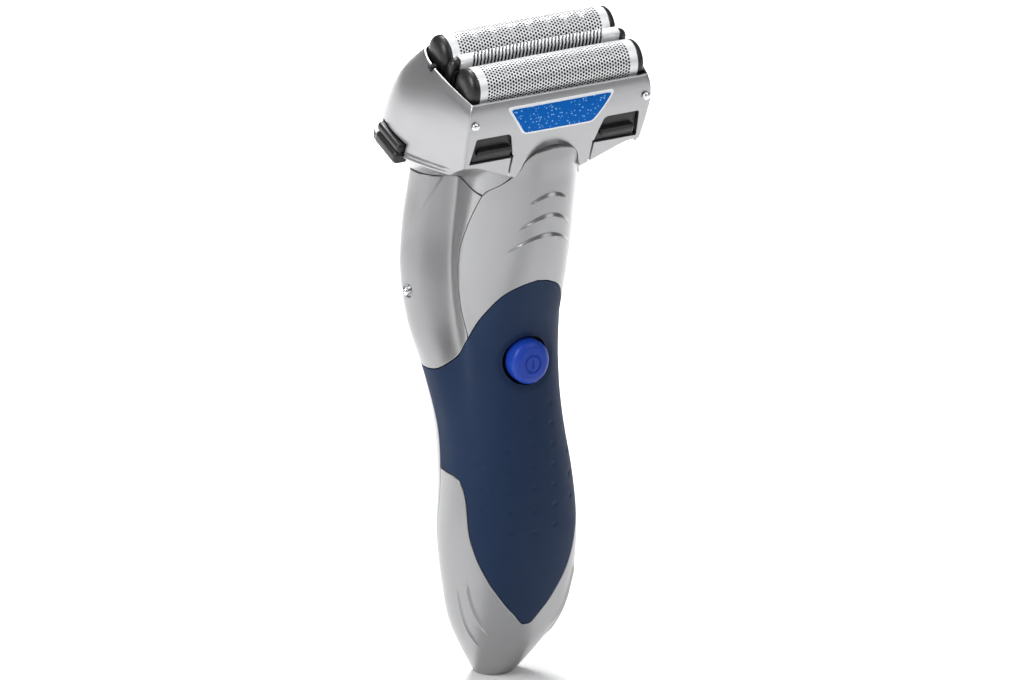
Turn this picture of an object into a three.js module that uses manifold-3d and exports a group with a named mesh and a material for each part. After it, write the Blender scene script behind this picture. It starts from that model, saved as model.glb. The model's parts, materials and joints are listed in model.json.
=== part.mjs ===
// Handheld foil shaver: pitched head with two foils and a slit strip, one handle with a soft grip.
// Millimetres, +Z up, front toward -Y, right hand side toward +X.
import * as THREE from 'three';
import { mergeVertices } from 'three/addons/utils/BufferGeometryUtils.js';
import Module from 'manifold-3d';

const wasm = await Module();
wasm.setup();

// ---------------------------------------------------------------- driving dimensions
const GAP = 0.3;                 // air between pieces that sit against each other
const SHELL = 1.6;               // wall of the housing panels
const HANDLE_TOP = 121;          // top edge of the housing panels
const TONGUE_TOP = 134.6;        // tip of the front panel's tongue
const PITCH = 17.5;              // forward pitch of the head, degrees
const HEAD_Y = -16.1;            // centre of the head's rim plane
const HEAD_Z = 152.5;
const CENTRE_Y = -5.95;          // middle of the whole object, front to back
const FOIL_HALF = 20.6;          // half length of the cutting elements
const FOIL_R = 4.4;
const FOIL_T = 0.3;
const FOIL_TOP = 5.4;
const FOIL_Y = [-7.5, -0.8, 5.9];
const SLIT_HALF = 1.25;          // half width of the slit strip
const SLIT_TOP = 4.6;
const FRAME_WALL = 1.6;
const BUTTON_Z = 79.4;
const BUTTON_R = 5.4;
const MOTOR_Y = -2;
const MOTOR_R = 9.5;
const CELL_R = 7;
const CELL_Y = -3.5;
const ECCENTRIC = 0.6;
const CREASE = 0.16;             // height of the crease along the panel seam, as a share of the hollow

// Handle sections: height, axis y, half width, depth to the front, depth to the back,
// squareness of the back, depth of the hollow beside the front spine, its angle.
const SECTIONS = [
  [0, 2.6, 4.8, 4.3, 4.2, 2.0, 0, 62],
  [2, 1.8, 6.0, 5.4, 5.4, 2.0, 0, 62],
  [6.5, 0, 8.9, 7.2, 7.2, 2.0, 0, 62],
  [14.5, -2.6, 13.2, 9.4, 9.8, 2.1, 0, 62],
  [24, -3.8, 15.5, 10.9, 11.6, 2.1, 0, 62],
  [36, -3.6, 16.4, 12.9, 12.6, 2.2, 0, 62],
  [50, -3.0, 15.1, 13.6, 14.0, 2.3, 0, 62],
  [60, -0.6, 14.2, 15.3, 14.2, 2.5, 0.2, 60],
  [72, 3.6, 15.2, 17.8, 11.8, 2.7, 1.6, 58],
  [84, 7.4, 18.0, 20.8, 9.0, 2.9, 5.0, 56],
  [96, 9.2, 19.3, 25.8, 7.4, 3.0, 7.0, 54],
  [108, 9.8, 18.5, 30.5, 6.6, 3.0, 7.6, 52],
  [118, 9.0, 17.4, 32.6, 6.4, 3.0, 7.6, 50],
  [128, 7.6, 17.0, 33.0, 5.4, 3.0, 7.4, 50],
  [138, 6.2, 17.0, 33.2, 5.0, 3.0, 7.0, 50],
];
// Panel lines of the handle, each as pairs of (argument, value).
const SEAM_ANGLE = [[0, 51], [60, 49.4], [76.4, 41.7], [84.5, 39.7], [93.1, 43.7], [102.6, 43.3],
  [111.2, 36.3], [121, 28]];
const REAR_ANGLE = [[0, 104], [50, 104], [74, 108], [92, 112], [121, 112]];
const TONGUE_ANGLE = [[121, 28], [122.7, 25.5], [124.8, 20.2], [126.8, 16.4], [129.2, 13.5], [131.5, 11.9],
  [133, 9.4], [134, 6], [134.6, 1.8]];
const GRIP_TOP = [[0, 100], [5.7, 99.4], [15.4, 97], [27.4, 91], [39.5, 84.6], [52.2, 79.9], [65.8, 77.2],
  [80, 75.2], [92.7, 74.5], [112, 74.2]];
const GRIP_FOOT = [[0, 15.8], [5, 15.9], [17.3, 18.4], [35.8, 23.2], [49, 28.8], [58.2, 35.4], [62.8, 40.6],
  [65.7, 46.6], [70.5, 50.2], [78.2, 51.6], [90.7, 51.9], [112, 51.7]];
// Head sections below the rim: height, half width, half width of the front face,
// half width of the back face, front, back, widest y.
const HEAD = [
  [-32, 28.2, 21.8, 19.6, 13.2, 22.6, 11],
  [-24, 28.5, 22.4, 20.0, 13.6, 22.6, 10],
  [-17, 28.1, 22.6, 20.4, 14.0, 21.0, 8],
  [-10, 27.2, 23.2, 20.6, 14.4, 18.2, 5],
  [-4.5, 25.8, 23.3, 20.8, 14.4, 14.6, 3],
  [-1.5, 24.8, 22.9, 21.2, 13.7, 12.2, 2.5],
  [0, 24.2, 22.4, 21.4, 13.0, 11.0, 2.5],
];
const SIDE_POWER = 1.7;          // bow of the head's side between the front corner and its widest point

// ---------------------------------------------------------------- small tools
const rad = (deg) => deg * Math.PI / 180;
const lerp = (a, b, t) => a + (b - a) * t;

// Smooth curve through the rows of a table, read at x from the given column.
function curve(table, x, column = 1) {
  const last = table.length - 1;
  const at = Math.min(Math.max(x, table[0][0]), table[last][0]);
  let i = 0;
  while (i < last - 1 && at > table[i + 1][0]) i += 1;
  const slope = (k) => (table[k + 1][column] - table[k][column]) / (table[k + 1][0] - table[k][0]);
  const tangent = (k) => {
    if (k === 0) return slope(0);
    if (k === last) return slope(last - 1);
    const before = table[k][0] - table[k - 1][0];
    const after = table[k + 1][0] - table[k][0];
    return (slope(k - 1) * after + slope(k) * before) / (before + after);
  };
  const h = table[i + 1][0] - table[i][0];
  const t = (at - table[i][0]) / h;
  const t2 = t * t;
  const t3 = t2 * t;
  return (2 * t3 - 3 * t2 + 1) * table[i][column] + (t3 - 2 * t2 + t) * h * tangent(i)
    + (3 * t2 - 2 * t3) * table[i + 1][column] + (t3 - t2) * h * tangent(i + 1);
}

// Point on the handle: angle from the front (degrees, positive toward +X), height, inset.
function handle(angle, z, inset = 0) {
  const [axis, wide, front, back, square, hollow, where] = [1, 2, 3, 4, 5, 6, 7]
    .map((k) => curve(SECTIONS, z, k));
  const s = Math.abs(Math.sin(rad(angle)));
  const c = Math.cos(rad(angle));
  const n = c > 0 ? Math.min(2.1, square) : square;
  const depth = c > 0 ? front : back;
  let r = ((s / wide) ** n + (Math.abs(c) / depth) ** n) ** (-1 / n);
  const turn = Math.abs(((angle + 180) % 360 + 360) % 360 - 180);
  const crease = Math.exp(-(((turn - curve(SEAM_ANGLE, z)) / 7) ** 2));
  r -= hollow * (Math.exp(-(((turn - where) / 20) ** 2)) - CREASE * crease) + inset;
  return [r * Math.sin(rad(angle)), axis - r * c, z];
}

// Head frame to object frame.
const pitchCos = Math.cos(rad(PITCH));
const pitchSin = Math.sin(rad(PITCH));
const toObject = ([x, y, z]) => [
  x,
  HEAD_Y + y * pitchCos - z * pitchSin,
  HEAD_Z + y * pitchSin + z * pitchCos,
];
// Height in the head frame of the point at (y) that lies at object height z.
const headHeight = (y, z) => (z - HEAD_Z - y * pitchSin) / pitchCos;

// Point on the head's outline: turn 0 at the front centre, 180 at the back centre.
// The front face ends in a corner at turn 40; the back runs round in an ellipse.
function head(turn, z, inset = 0) {
  const [wide, corner, straight, front, back, widest] = [1, 2, 3, 4, 5, 6].map((k) => curve(HEAD, z, k));
  const side = turn > 180 ? -1 : 1;
  const t = turn > 180 ? 360 - turn : turn;
  if (t <= 40) return [side * corner * t / 40, -front + inset, z];
  if (t >= 140) return [side * straight * (180 - t) / 40, back - inset, z];
  if (t < 90) {
    const w = (t - 40) / 50;
    const bow = 1 - (1 - w) ** SIDE_POWER;
    return [side * (corner + (wide - corner - inset) * bow), lerp(-front + inset, widest, w), z];
  }
  const q = rad((t - 90) / 50 * 90);
  return [
    side * (straight + (wide - straight - inset) * Math.cos(q)),
    widest + (back - widest - inset) * Math.sin(q), z,
  ];
}

// Solid from triangles over points, turned so that its faces look outward.
function solid(points, faces) {
  const geometry = new THREE.BufferGeometry();
  geometry.setAttribute('position', new THREE.Float32BufferAttribute(points.flat(), 3));
  let volume = 0;
  const [a, b, c] = [new THREE.Vector3(), new THREE.Vector3(), new THREE.Vector3()];
  for (const [i, j, k] of faces) {
    a.fromArray(points[i]);
    b.fromArray(points[j]);
    c.fromArray(points[k]);
    volume += a.dot(b.cross(c));
  }
  geometry.setIndex(faces.flatMap(([i, j, k]) => (volume > 0 ? [i, j, k] : [i, k, j])));
  return geometry;
}

// Two facing grids closed by walls. point(i, j, layer) gives the corner points.
function slab(nu, nv, point) {
  const points = [];
  const faces = [];
  const id = (i, j, layer) => layer * (nu + 1) * (nv + 1) + j * (nu + 1) + i;
  for (let layer = 0; layer < 2; layer += 1) {
    for (let j = 0; j <= nv; j += 1) {
      for (let i = 0; i <= nu; i += 1) points.push(point(i / nu, j / nv, layer));
    }
  }
  const quad = (p, q, r, s) => faces.push([p, q, r], [p, r, s]);
  for (let j = 0; j < nv; j += 1) {
    for (let i = 0; i < nu; i += 1) {
      quad(id(i, j, 0), id(i + 1, j, 0), id(i + 1, j + 1, 0), id(i, j + 1, 0));
      quad(id(i, j, 1), id(i, j + 1, 1), id(i + 1, j + 1, 1), id(i + 1, j, 1));
    }
  }
  for (let i = 0; i < nu; i += 1) {
    quad(id(i + 1, 0, 0), id(i, 0, 0), id(i, 0, 1), id(i + 1, 0, 1));
    quad(id(i, nv, 0), id(i + 1, nv, 0), id(i + 1, nv, 1), id(i, nv, 1));
  }
  for (let j = 0; j < nv; j += 1) {
    quad(id(0, j, 0), id(0, j + 1, 0), id(0, j + 1, 1), id(0, j, 1));
    quad(id(nu, j + 1, 0), id(nu, j, 0), id(nu, j, 1), id(nu, j + 1, 1));
  }
  return solid(points, faces);
}

// Closed rings stacked into a solid; both ends capped from their middle point.
function loft(rings) {
  const n = rings[0].length;
  const points = rings.flat();
  const faces = [];
  for (let j = 0; j < rings.length - 1; j += 1) {
    for (let i = 0; i < n; i += 1) {
      const k = (i + 1) % n;
      faces.push([j * n + i, j * n + k, (j + 1) * n + k], [j * n + i, (j + 1) * n + k, (j + 1) * n + i]);
    }
  }
  for (const [ring, flip] of [[0, true], [rings.length - 1, false]]) {
    const middle = [0, 1, 2].map((k) => rings[ring].reduce((sum, p) => sum + p[k], 0) / n);
    points.push(middle);
    for (let i = 0; i < n; i += 1) {
      const a = ring * n + i;
      const b = ring * n + (i + 1) % n;
      faces.push(flip ? [b, a, points.length - 1] : [a, b, points.length - 1]);
    }
  }
  return solid(points, faces);
}

// Rings joined into a hollow band: outer skin, inner skin and the two rims.
function band(outer, inner) {
  const n = outer[0].length;
  const rows = [...outer, ...inner.slice().reverse()];
  const faces = [];
  for (let j = 0; j < rows.length; j += 1) {
    const up = (j + 1) % rows.length;
    for (let i = 0; i < n; i += 1) {
      const k = (i + 1) % n;
      faces.push([j * n + i, j * n + k, up * n + k], [j * n + i, up * n + k, up * n + i]);
    }
  }
  return solid(rows.flat(), faces);
}

const ringOf = (n, point) => Array.from({ length: n }, (_, i) => point(360 * i / n));

function box(x0, x1, y0, y1, z0, z1) {
  const geometry = new THREE.BoxGeometry(x1 - x0, y1 - y0, z1 - z0);
  return geometry.translate((x0 + x1) / 2, (y0 + y1) / 2, (z0 + z1) / 2);
}

// Box whose x range is mirrored to the chosen side.
const sideBox = (side, x0, x1, ...rest) => box(Math.min(side * x0, side * x1), Math.max(side * x0, side * x1),
  ...rest);

// Outline of (x, z) points, mirrored to the chosen side and pushed through from y0 to y1.
function pushed(outline, y0, y1, side = 1) {
  const shape = new THREE.Shape(outline.map(([x, z]) => new THREE.Vector2(side * x, z)));
  const geometry = new THREE.ExtrudeGeometry(shape, { depth: y1 - y0, bevelEnabled: false });
  return geometry.rotateX(Math.PI / 2).translate(0, y1, 0);
}

// Cylinder along z from z0 to z1.
function post(radius, z0, z1, x = 0, y = 0, sides = 20) {
  const geometry = new THREE.CylinderGeometry(radius, radius, z1 - z0, sides);
  return geometry.rotateX(Math.PI / 2).translate(x, y, (z0 + z1) / 2);
}

// Body of revolution about z; profile rows are (radius, height).
function turned(profile, sides = 20) {
  const rows = profile.map(([r, z]) => new THREE.Vector2(r, z));
  return new THREE.LatheGeometry(rows, sides).rotateX(Math.PI / 2);
}

// Copies of a shape moved from the head frame to the object frame, and back.
const inHead = (geometry) => geometry.clone().rotateX(rad(PITCH)).translate(0, HEAD_Y, HEAD_Z);
const outOfHead = (geometry) => geometry.clone().translate(0, -HEAD_Y, -HEAD_Z).rotateX(-rad(PITCH));

function toManifold(geometry) {
  const plain = geometry.clone();
  plain.deleteAttribute('normal');
  plain.deleteAttribute('uv');
  const merged = mergeVertices(plain, 1e-4);
  const mesh = new wasm.Mesh({
    numProp: 3,
    vertProperties: new Float32Array(merged.attributes.position.array),
    triVerts: new Uint32Array(merged.index.array),
  });
  return new wasm.Manifold(mesh);
}

function fromManifold(body) {
  const mesh = body.getMesh();
  const geometry = new THREE.BufferGeometry();
  geometry.setAttribute('position', new THREE.Float32BufferAttribute(Array.from(mesh.vertProperties), 3));
  geometry.setIndex(Array.from(mesh.triVerts));
  return geometry;
}

function cut(base, ...tools) {
  return fromManifold(tools.reduce((m, t) => m.subtract(toManifold(t)), toManifold(base)));
}

function join(base, ...more) {
  return fromManifold(more.reduce((m, t) => m.add(toManifold(t)), toManifold(base)));
}

const common = (base, other) => fromManifold(toManifold(base).intersect(toManifold(other)));

// ---------------------------------------------------------------- finishes
const FINISH = {
  silver: [0xb4b6b9, 0.38, 0.35],
  navy: [0x22375a, 0.75, 0],
  blue: [0x1d3fa6, 0.45, 0],
  black: [0x1d1e20, 0.5, 0],
  rubber: [0x26282b, 0.9, 0],
  steel: [0xc9cbce, 0.3, 0.9],
  foil: [0xd6d8da, 0.28, 0.95],
  chrome: [0xe2e4e6, 0.12, 1],
  white: [0xf2f4f6, 0.5, 0],
  badge: [0x1c58b4, 0.4, 0],
  frame: [0xe6e4dd, 0.7, 0],
  board: [0x1f6b3c, 0.6, 0],
  cell: [0x3b6fa0, 0.5, 0],
  brass: [0xc79a4b, 0.35, 0.9],
};

// The whole object, centred over its foot, and the pitched head inside it.
const group = new THREE.Group();
group.position.y = -CENTRE_Y;
const headGroup = new THREE.Group();
headGroup.position.set(0, HEAD_Y, HEAD_Z);
headGroup.rotation.x = rad(PITCH);
group.add(headGroup);

function piece(name, geometry, finish, parent = group) {
  const plain = geometry.clone();
  plain.deleteAttribute('normal');
  plain.deleteAttribute('uv');
  const merged = mergeVertices(plain, 1e-4);
  merged.computeVertexNormals();
  const [color, roughness, metalness] = FINISH[finish];
  const mesh = new THREE.Mesh(merged, new THREE.MeshStandardMaterial({ color, roughness, metalness }));
  mesh.name = name;
  parent.add(mesh);
}

const headPiece = (name, geometry, finish) => piece(name, geometry, finish, headGroup);

// ---------------------------------------------------------------- housing panels
// Angle on the handle that covers the given distance, used for the gaps between panels.
function angleFor(distance, angle, z) {
  const [x0, y0] = handle(angle - 1, z);
  const [x1, y1] = handle(angle + 1, z);
  return 2 * distance / Math.hypot(x1 - x0, y1 - y0);
}

// Height step that keeps the given distance square to a sloping edge.
function heightFor(distance, table, angle) {
  const rise = curve(table, angle + 1) - curve(table, angle - 1);
  const [x0, y0] = handle(angle - 1, curve(table, angle));
  const [x1, y1] = handle(angle + 1, curve(table, angle));
  const slope = rise / Math.hypot(x1 - x0, y1 - y0);
  return distance * Math.sqrt(1 + slope * slope);
}

// One panel of the handle between two edge angles and two edge heights.
function panel(options) {
  const { from, to, foot, top, nu, nv, outer = 0, inner = SHELL, spread = (v) => v } = options;
  return slab(nu, nv, (u, v, layer) => {
    let low = 60;
    let high = 110;
    for (let k = 0; k < 12; k += 1) {
      low = lerp(low, foot(lerp(from(low), to(low), u)), 0.7);
      high = lerp(high, top(lerp(from(high), to(high), u)), 0.7);
    }
    const z = lerp(low, high, spread(v));
    const depth = layer ? (typeof inner === 'function' ? inner(z) : inner) : outer;
    return handle(lerp(from(z), to(z), u), z, depth);
  });
}

// Height of a sloping panel edge, lowered by gap, or raised where gap is negative.
function edgeHeight(table, angle, gap) {
  const turn = Math.abs(angle);
  return curve(table, turn) - Math.sign(gap) * heightFor(Math.abs(gap), table, turn);
}
const gripTop = (angle, gap) => edgeHeight(GRIP_TOP, angle, gap);
const gripFoot = (angle, gap) => edgeHeight(GRIP_FOOT, angle, gap);
const seamAngle = (z) => curve(SEAM_ANGLE, z);
const rearAngle = (z) => curve(REAR_ANGLE, z);
const frontEdge = (z) => (z > 121 ? curve(TONGUE_ANGLE, z) : seamAngle(z));

// A rib that lies on the handle along a line of (angle, height), thin at both ends.
function rib(line, width, height, steps = 8) {
  const rings = [];
  for (let i = 0; i <= steps; i += 1) {
    const t = i / steps;
    const full = Math.sin(Math.PI * lerp(0.06, 0.94, t)) ** 0.7;
    const [angle, z] = line(t);
    const [angle2, z2] = line(t + 0.02);
    const here = new THREE.Vector3(...handle(angle, z));
    const along = new THREE.Vector3(...handle(angle2, z2)).sub(here).normalize();
    const out = here.clone().sub(new THREE.Vector3(...handle(angle, z, 1))).normalize();
    const side = along.clone().cross(out).normalize();
    rings.push(ringOf(5, (turn) => here.clone()
      .addScaledVector(side, width * full * Math.cos(rad(turn)))
      .addScaledVector(out, height * full * Math.sin(rad(turn))).toArray()));
  }
  return loft(rings);
}

const frontPanel = (gap, outer, inner, nu, nv) => panel({
  from: (z) => -frontEdge(z) + angleFor(gap, frontEdge(z), z),
  to: (z) => frontEdge(z) - angleFor(gap, frontEdge(z), z),
  foot: (a) => gripTop(a, -gap),
  top: () => TONGUE_TOP - gap,
  nu, nv, outer, inner,
  spread: (v) => 1 - (1 - v) ** 1.35,
});
const tongueDepth = (z) => lerp(SHELL, 2.6, Math.min(Math.max((z - 118) / 8, 0), 1));
// Crescents on the brow: reach to each side, height of the ends, height of the crown.
const CRESCENTS = [[8.7, 120.4, 122.3], [12.6, 113.5, 117], [16, 107.9, 111.9]];
const browRidges = CRESCENTS.map(([reach, ends, crown]) => {
  const rise = (t) => ends + (crown - ends) * Math.sin(Math.PI * Math.min(t, 1));
  return rib((t) => [lerp(-reach, reach, t), rise(t)], 0.5, 0.5);
});
piece('front_panel', join(frontPanel(0.15, 0, tongueDepth, 12, 13), ...browRidges), 'silver');

const PIN_ANGLE = 89.6;
const PIN_Z = 92.5;
function sidePin(side, radius, reach) {
  const here = new THREE.Vector3(...handle(side * PIN_ANGLE, PIN_Z));
  const out = here.clone().sub(new THREE.Vector3(...handle(side * PIN_ANGLE, PIN_Z, 1))).normalize();
  const turn = new THREE.Quaternion().setFromUnitVectors(new THREE.Vector3(0, 0, 1), out);
  const dome = [[0, -1.1], [radius, -1.1], [radius, reach * 0.4], [radius * 0.75, reach * 0.85], [0, reach]];
  const shape = reach > 2 ? post(radius, -3, reach, 0, 0, 12) : turned(dome, 12);
  return shape.applyQuaternion(turn).translate(here.x, here.y, here.z);
}
for (const [name, side] of [['left', -1], ['right', 1]]) {
  const shape = panel({
    from: (z) => side * (seamAngle(z) + angleFor(0.15, seamAngle(z), z)),
    to: (z) => side * (rearAngle(z) - angleFor(0.15, rearAngle(z), z)),
    foot: (a) => gripTop(a, -0.15),
    top: () => HANDLE_TOP - 0.15,
    nu: 7,
    nv: 10,
  });
  piece(`side_panel_${name}`, cut(shape, sidePin(side, 1.35, 5)), 'silver');
  piece(`side_pin_${name}`, sidePin(side, 1.05, 1.1), 'chrome');
}

const acrossBoth = (z) => rearAngle(z) - angleFor(0.15, rearAngle(z), z);
const buttonBore = post(BUTTON_R + 0.4, -8, 8, 0, 0, 32).rotateX(Math.PI / 2).translate(0, -14, BUTTON_Z);
const grip = panel({
  from: (z) => -acrossBoth(z),
  to: acrossBoth,
  foot: (a) => gripFoot(a, -0.15),
  top: (a) => gripTop(a, 0.15),
  nu: 24,
  nv: 9,
});
piece('front_grip', cut(grip, buttonBore), 'navy');

const lowerRibs = [];
for (const side of [-1, 1]) {
  const outerLine = [[25.2, 76.7], [19.3, 74.6], [13.9, 69.6], [9.7, 60.9]];
  const innerLine = [[26.8, 66.6], [22.5, 64.8], [17.1, 57.3], [13.3, 46.7]];
  for (const line of [outerLine, innerLine]) {
    const rows = line.slice().reverse();
    lowerRibs.push(rib((t) => {
      const z = lerp(line[0][0], line[3][0], t);
      return [side * curve(rows, z), z];
    }, 0.45, 0.45, 6));
  }
}
const lower = panel({
  from: (z) => -acrossBoth(z),
  to: acrossBoth,
  foot: () => 0,
  top: (a) => gripFoot(a, 0.15),
  nu: 24,
  nv: 7,
  spread: (v) => v ** 1.3,
});
piece('lower_cover', join(lower, ...lowerRibs), 'silver');

// ---------------------------------------------------------------- rear cover and trimmer
const rear = panel({
  from: (z) => rearAngle(z) + angleFor(0.15, rearAngle(z), z),
  to: (z) => 360 - rearAngle(z) - angleFor(0.15, rearAngle(z), z),
  foot: () => 0,
  top: () => HANDLE_TOP - 0.15,
  nu: 14,
  nv: 14,
  spread: (v) => v ** 1.15,
});
const TRIMMER_Y = 15.2;
const screws = [['upper', 62], ['lower', 30]];
// Post square to the back of the handle, with its zero height on the surface.
const rearPost = (radius, from, to, z) => post(radius, from, to, 0, 0, 12).rotateX(-Math.PI / 2)
  .translate(0, handle(180, z)[1], z);
const rearWithTray = join(rear, box(-10.4, 10.4, 13.2, 14.9, 79, 119.2));
const trimmerSpace = box(-9.4, 9.4, 14.9, 20, 80.6, 123);
const screwHoles = screws.map(([, z]) => rearPost(2.2, -4.2, 4.8, z));
piece('rear_cover', cut(rearWithTray, trimmerSpace, ...screwHoles), 'silver');
for (const [name, z] of screws) {
  const headShape = turned([[0, -4.4], [1.1, -4.4], [1.1, -1.4], [1.9, -1.4], [1.9, -0.2], [0, -0.2]], 12);
  const slot = join(box(-1.2, 1.2, -0.25, 0.25, -0.7, 1), box(-0.25, 0.25, -1.2, 1.2, -0.7, 1));
  const screw = cut(headShape, slot).rotateX(-Math.PI / 2).translate(0, handle(180, z)[1], z);
  piece(`rear_screw_${name}`, screw, 'steel');
}
const slidePlate = box(-9, 9, TRIMMER_Y, 16.9, 81.4, 112);
const thumbRibs = [90, 93, 96, 99].map((z) => box(-5, 5, 16.8, 17.6, z - 0.5, z + 0.5));
piece('trimmer_slide', join(slidePlate, ...thumbRibs), 'silver');
function toothed(half, foot, shoulder, tip, teeth, y0, y1) {
  const outline = [[-half, foot], [half, foot], [half, shoulder]];
  const step = 2 * half / teeth;
  for (let i = 0; i < teeth; i += 1) {
    const x = half - i * step;
    outline.push([x - step * 0.2, tip], [x - step * 0.55, tip], [x - step * 0.75, shoulder]);
    if (i < teeth - 1) outline.push([x - step, shoulder]);
  }
  outline.push([-half, shoulder]);
  return pushed(outline, y0, y1);
}
piece('trimmer_comb', toothed(8, 112.3, 114.6, 117.2, 14, 16.3, 16.8), 'steel');
piece('trimmer_cutter', toothed(6.9, 112.3, 114.4, 116.6, 12, 15.5, 16.0), 'steel');

// ---------------------------------------------------------------- inside the handle
const cellBody = post(CELL_R, 16, 62, 0, CELL_Y, 20);
piece('battery_cell', cellBody, 'cell');
piece('battery_tab_foot', box(-2.4, 2.4, CELL_Y - 3, CELL_Y + 4.5, 15.2, 15.7), 'brass');
piece('battery_tab_top', box(-2.4, 2.4, CELL_Y - 3, CELL_Y + 4.5, 62.3, 62.8), 'brass');
const motorCan = turned([[0, 91], [MOTOR_R - 1, 91], [MOTOR_R, 92], [MOTOR_R, 113], [MOTOR_R - 1, 114],
  [1.6, 114], [1.6, 112], [0, 112]], 20).translate(0, MOTOR_Y, 0);
piece('motor_can', motorCan, 'steel');
piece('motor_end_bell', turned([[0, 87.6], [MOTOR_R - 2, 87.6], [MOTOR_R - 0.6, 89], [MOTOR_R - 0.6, 90.7],
  [0, 90.7]], 20).translate(0, MOTOR_Y, 0), 'black');
const coreHeights = [20, 28, 40, 52, 64, 76, 88, 100, 110];
const core = loft(coreHeights.map((z) => ringOf(24, (a) => handle(a, z, SHELL + 0.6))));
const trayBox = join(
  box(-16, 16, 4.2, 6, 22, 109),
  box(-9.6, -8, -5, 4.6, 22, 60),
  box(8, 9.6, -5, 4.6, 22, 60),
  box(-7, 7, -6, 4.6, 64.4, 66),
);
const motorSpace = post(MOTOR_R + GAP, 85, 118, 0, MOTOR_Y, 20);
const screwBores = screws.map(([, z]) => rearPost(1.6, -9, 3, z));
piece('chassis', cut(common(trayBox, core), motorSpace, ...screwBores), 'frame');
piece('circuit_board', box(-8, 8, -7.4, -6.4, 66.6, 86.6), 'board');
piece('tact_switch', box(-3, 3, -8.3, -7.5, BUTTON_Z - 3, BUTTON_Z + 3), 'black');

// Foot socket with its two pins.
const socketRing = (z, inset) => ringOf(24, (a) => {
  const [x, y] = handle(a, 0, inset);
  return [x, y, z];
});
const socketBody = loft([socketRing(0.02, SHELL + GAP), socketRing(7, SHELL + GAP)]);
const socketWell = loft([socketRing(-1, SHELL + 1), socketRing(4.6, SHELL + 1)]);
const pinAt = (x, radius, z0, z1) => post(radius, z0, z1, x, 2.6, 10);
const socketShape = cut(socketBody, socketWell, pinAt(-1.25, 0.55, -1, 9), pinAt(1.25, 0.55, -1, 9));
piece('appliance_socket', socketShape, 'black');
piece('socket_pin_left', pinAt(-1.25, 0.4, 1, 9), 'brass');
piece('socket_pin_right', pinAt(1.25, 0.4, 1, 9), 'brass');

// Power button, its membrane and the neck gasket.
const buttonProfile = [[0, -4.0], [2.4, -4.0], [2.4, -2.4], [BUTTON_R, -2.4], [BUTTON_R, 0.7],
  [BUTTON_R - 0.35, 1.3], [BUTTON_R - 1.4, 1.75], [2.4, 2.0], [0, 2.0]];
const button = turned(buttonProfile, 24).rotateX(Math.PI / 2).translate(0, -13.9, BUTTON_Z);
piece('power_button', button, 'blue');
const membrane = post(7, 0, 0.5, 0, 0, 20).rotateX(Math.PI / 2).translate(0, -8.4, BUTTON_Z);
piece('button_membrane', membrane, 'rubber');
// The gasket steps inward behind the tongue of the front panel.
function gasketInset(angle) {
  const turn = Math.abs(((angle + 180) % 360) - 180);
  return 2.75 - 2.1 * Math.min(1, Math.max(0, (turn - 32) / 14));
}
const gasketOuter = [121.1, 121.5].map((z) => ringOf(36, (a) => handle(a, z, gasketInset(a))));
const gasketInner = [121.1, 121.5].map((z) => ringOf(36, (a) => handle(a, z, 4)));
piece('neck_gasket', band(gasketOuter, gasketInner), 'rubber');

// ---------------------------------------------------------------- neck collar
// The collar starts on the handle's outline and widens to the inside of the head frame.
const headTurn = (a) => {
  const t = a > 180 ? 360 - a : a;
  const mapped = t < 62 ? t * 40 / 62 : t > 118 ? 140 + (t - 118) * 40 / 62 : 40 + (t - 62) * 100 / 56;
  return a > 180 ? 360 - mapped : mapped;
};
function collarPoint(a, t, inset) {
  const low = handle(a, 121.8, 0.4 + inset);
  const turn = headTurn(a);
  const rough = head(turn, -22, 2.1 + inset);
  const plane = lerp(133, 131, Math.min(1, Math.max(0, (rough[1] + 14) / 18)));
  const high = toObject(head(turn, headHeight(rough[1], plane), 2.1 + inset));
  return [0, 1, 2].map((k) => lerp(low[k], high[k], k === 2 ? t : t ** 0.8));
}
const collarRings = (inset, stops) => stops.map((t) => ringOf(36, (a) => collarPoint(a, t, inset)));
const collarOuter = loft(collarRings(0, [0, 0.3, 0.6, 1]));
const collarInner = loft(collarRings(1.8, [0.17, 0.5, 1.25]));
const panelClear = frontPanel(-GAP, -6, (z) => tongueDepth(z) + GAP + 0.1, 12, 13);
const frameClear = frontPanel(-GAP, -6, (z) => 3 + 3 * Math.min(1, Math.max(0, (134 - z) / 6)), 12, 13);
const buttonSpaces = [-1, 1].map((side) => inHead(sideBox(side, 22, 33, 2.8, 13.6, -26.6, -20.4)));
piece('neck_collar', cut(collarOuter, collarInner, panelClear, post(4.6, 118, 126, 0, MOTOR_Y, 20),
  ...buttonSpaces), 'silver');
const sealProfile = [[1.7, 121.4], [4.3, 121.4], [4.3, 122.8], [2.6, 124], [1.7, 124], [1.7, 121.4]];
piece('diaphragm_seal', turned(sealProfile, 20).translate(0, MOTOR_Y, 0), 'rubber');

// ---------------------------------------------------------------- drive
const shaftTop = 125.2;
piece('motor_shaft', post(1.2, 112.4, shaftTop, 0, MOTOR_Y, 14), 'steel');
const cam = join(post(3, shaftTop + GAP, shaftTop + 2.2, 0, MOTOR_Y, 20),
  post(0.7, shaftTop + 2, 131.4, ECCENTRIC, MOTOR_Y, 12));
piece('eccentric_cam', cam, 'black');
const driveBlock = box(-4.4, 4.4, MOTOR_Y - 4, MOTOR_Y + 4, 128.6, 134);
const driveSlot = box(-2.05, 2.05, MOTOR_Y - 2.4, MOTOR_Y + 2.4, 126, 131.9);
const bridge = inHead(join(
  box(-16, 16, -9.6, 8, -11.6, -9.6),
  box(-3, 3, 3.4, 9.4, -21.5, -10),
));
const BLADE_PINS = [-12, 12];
const guidePins = FOIL_Y.flatMap((y) => BLADE_PINS.map((x) => inHead(post(0.8, -10, -3.6, x, y, 10))));
piece('oscillator', join(cut(join(driveBlock, bridge), driveSlot), ...guidePins), 'frame');

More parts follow.
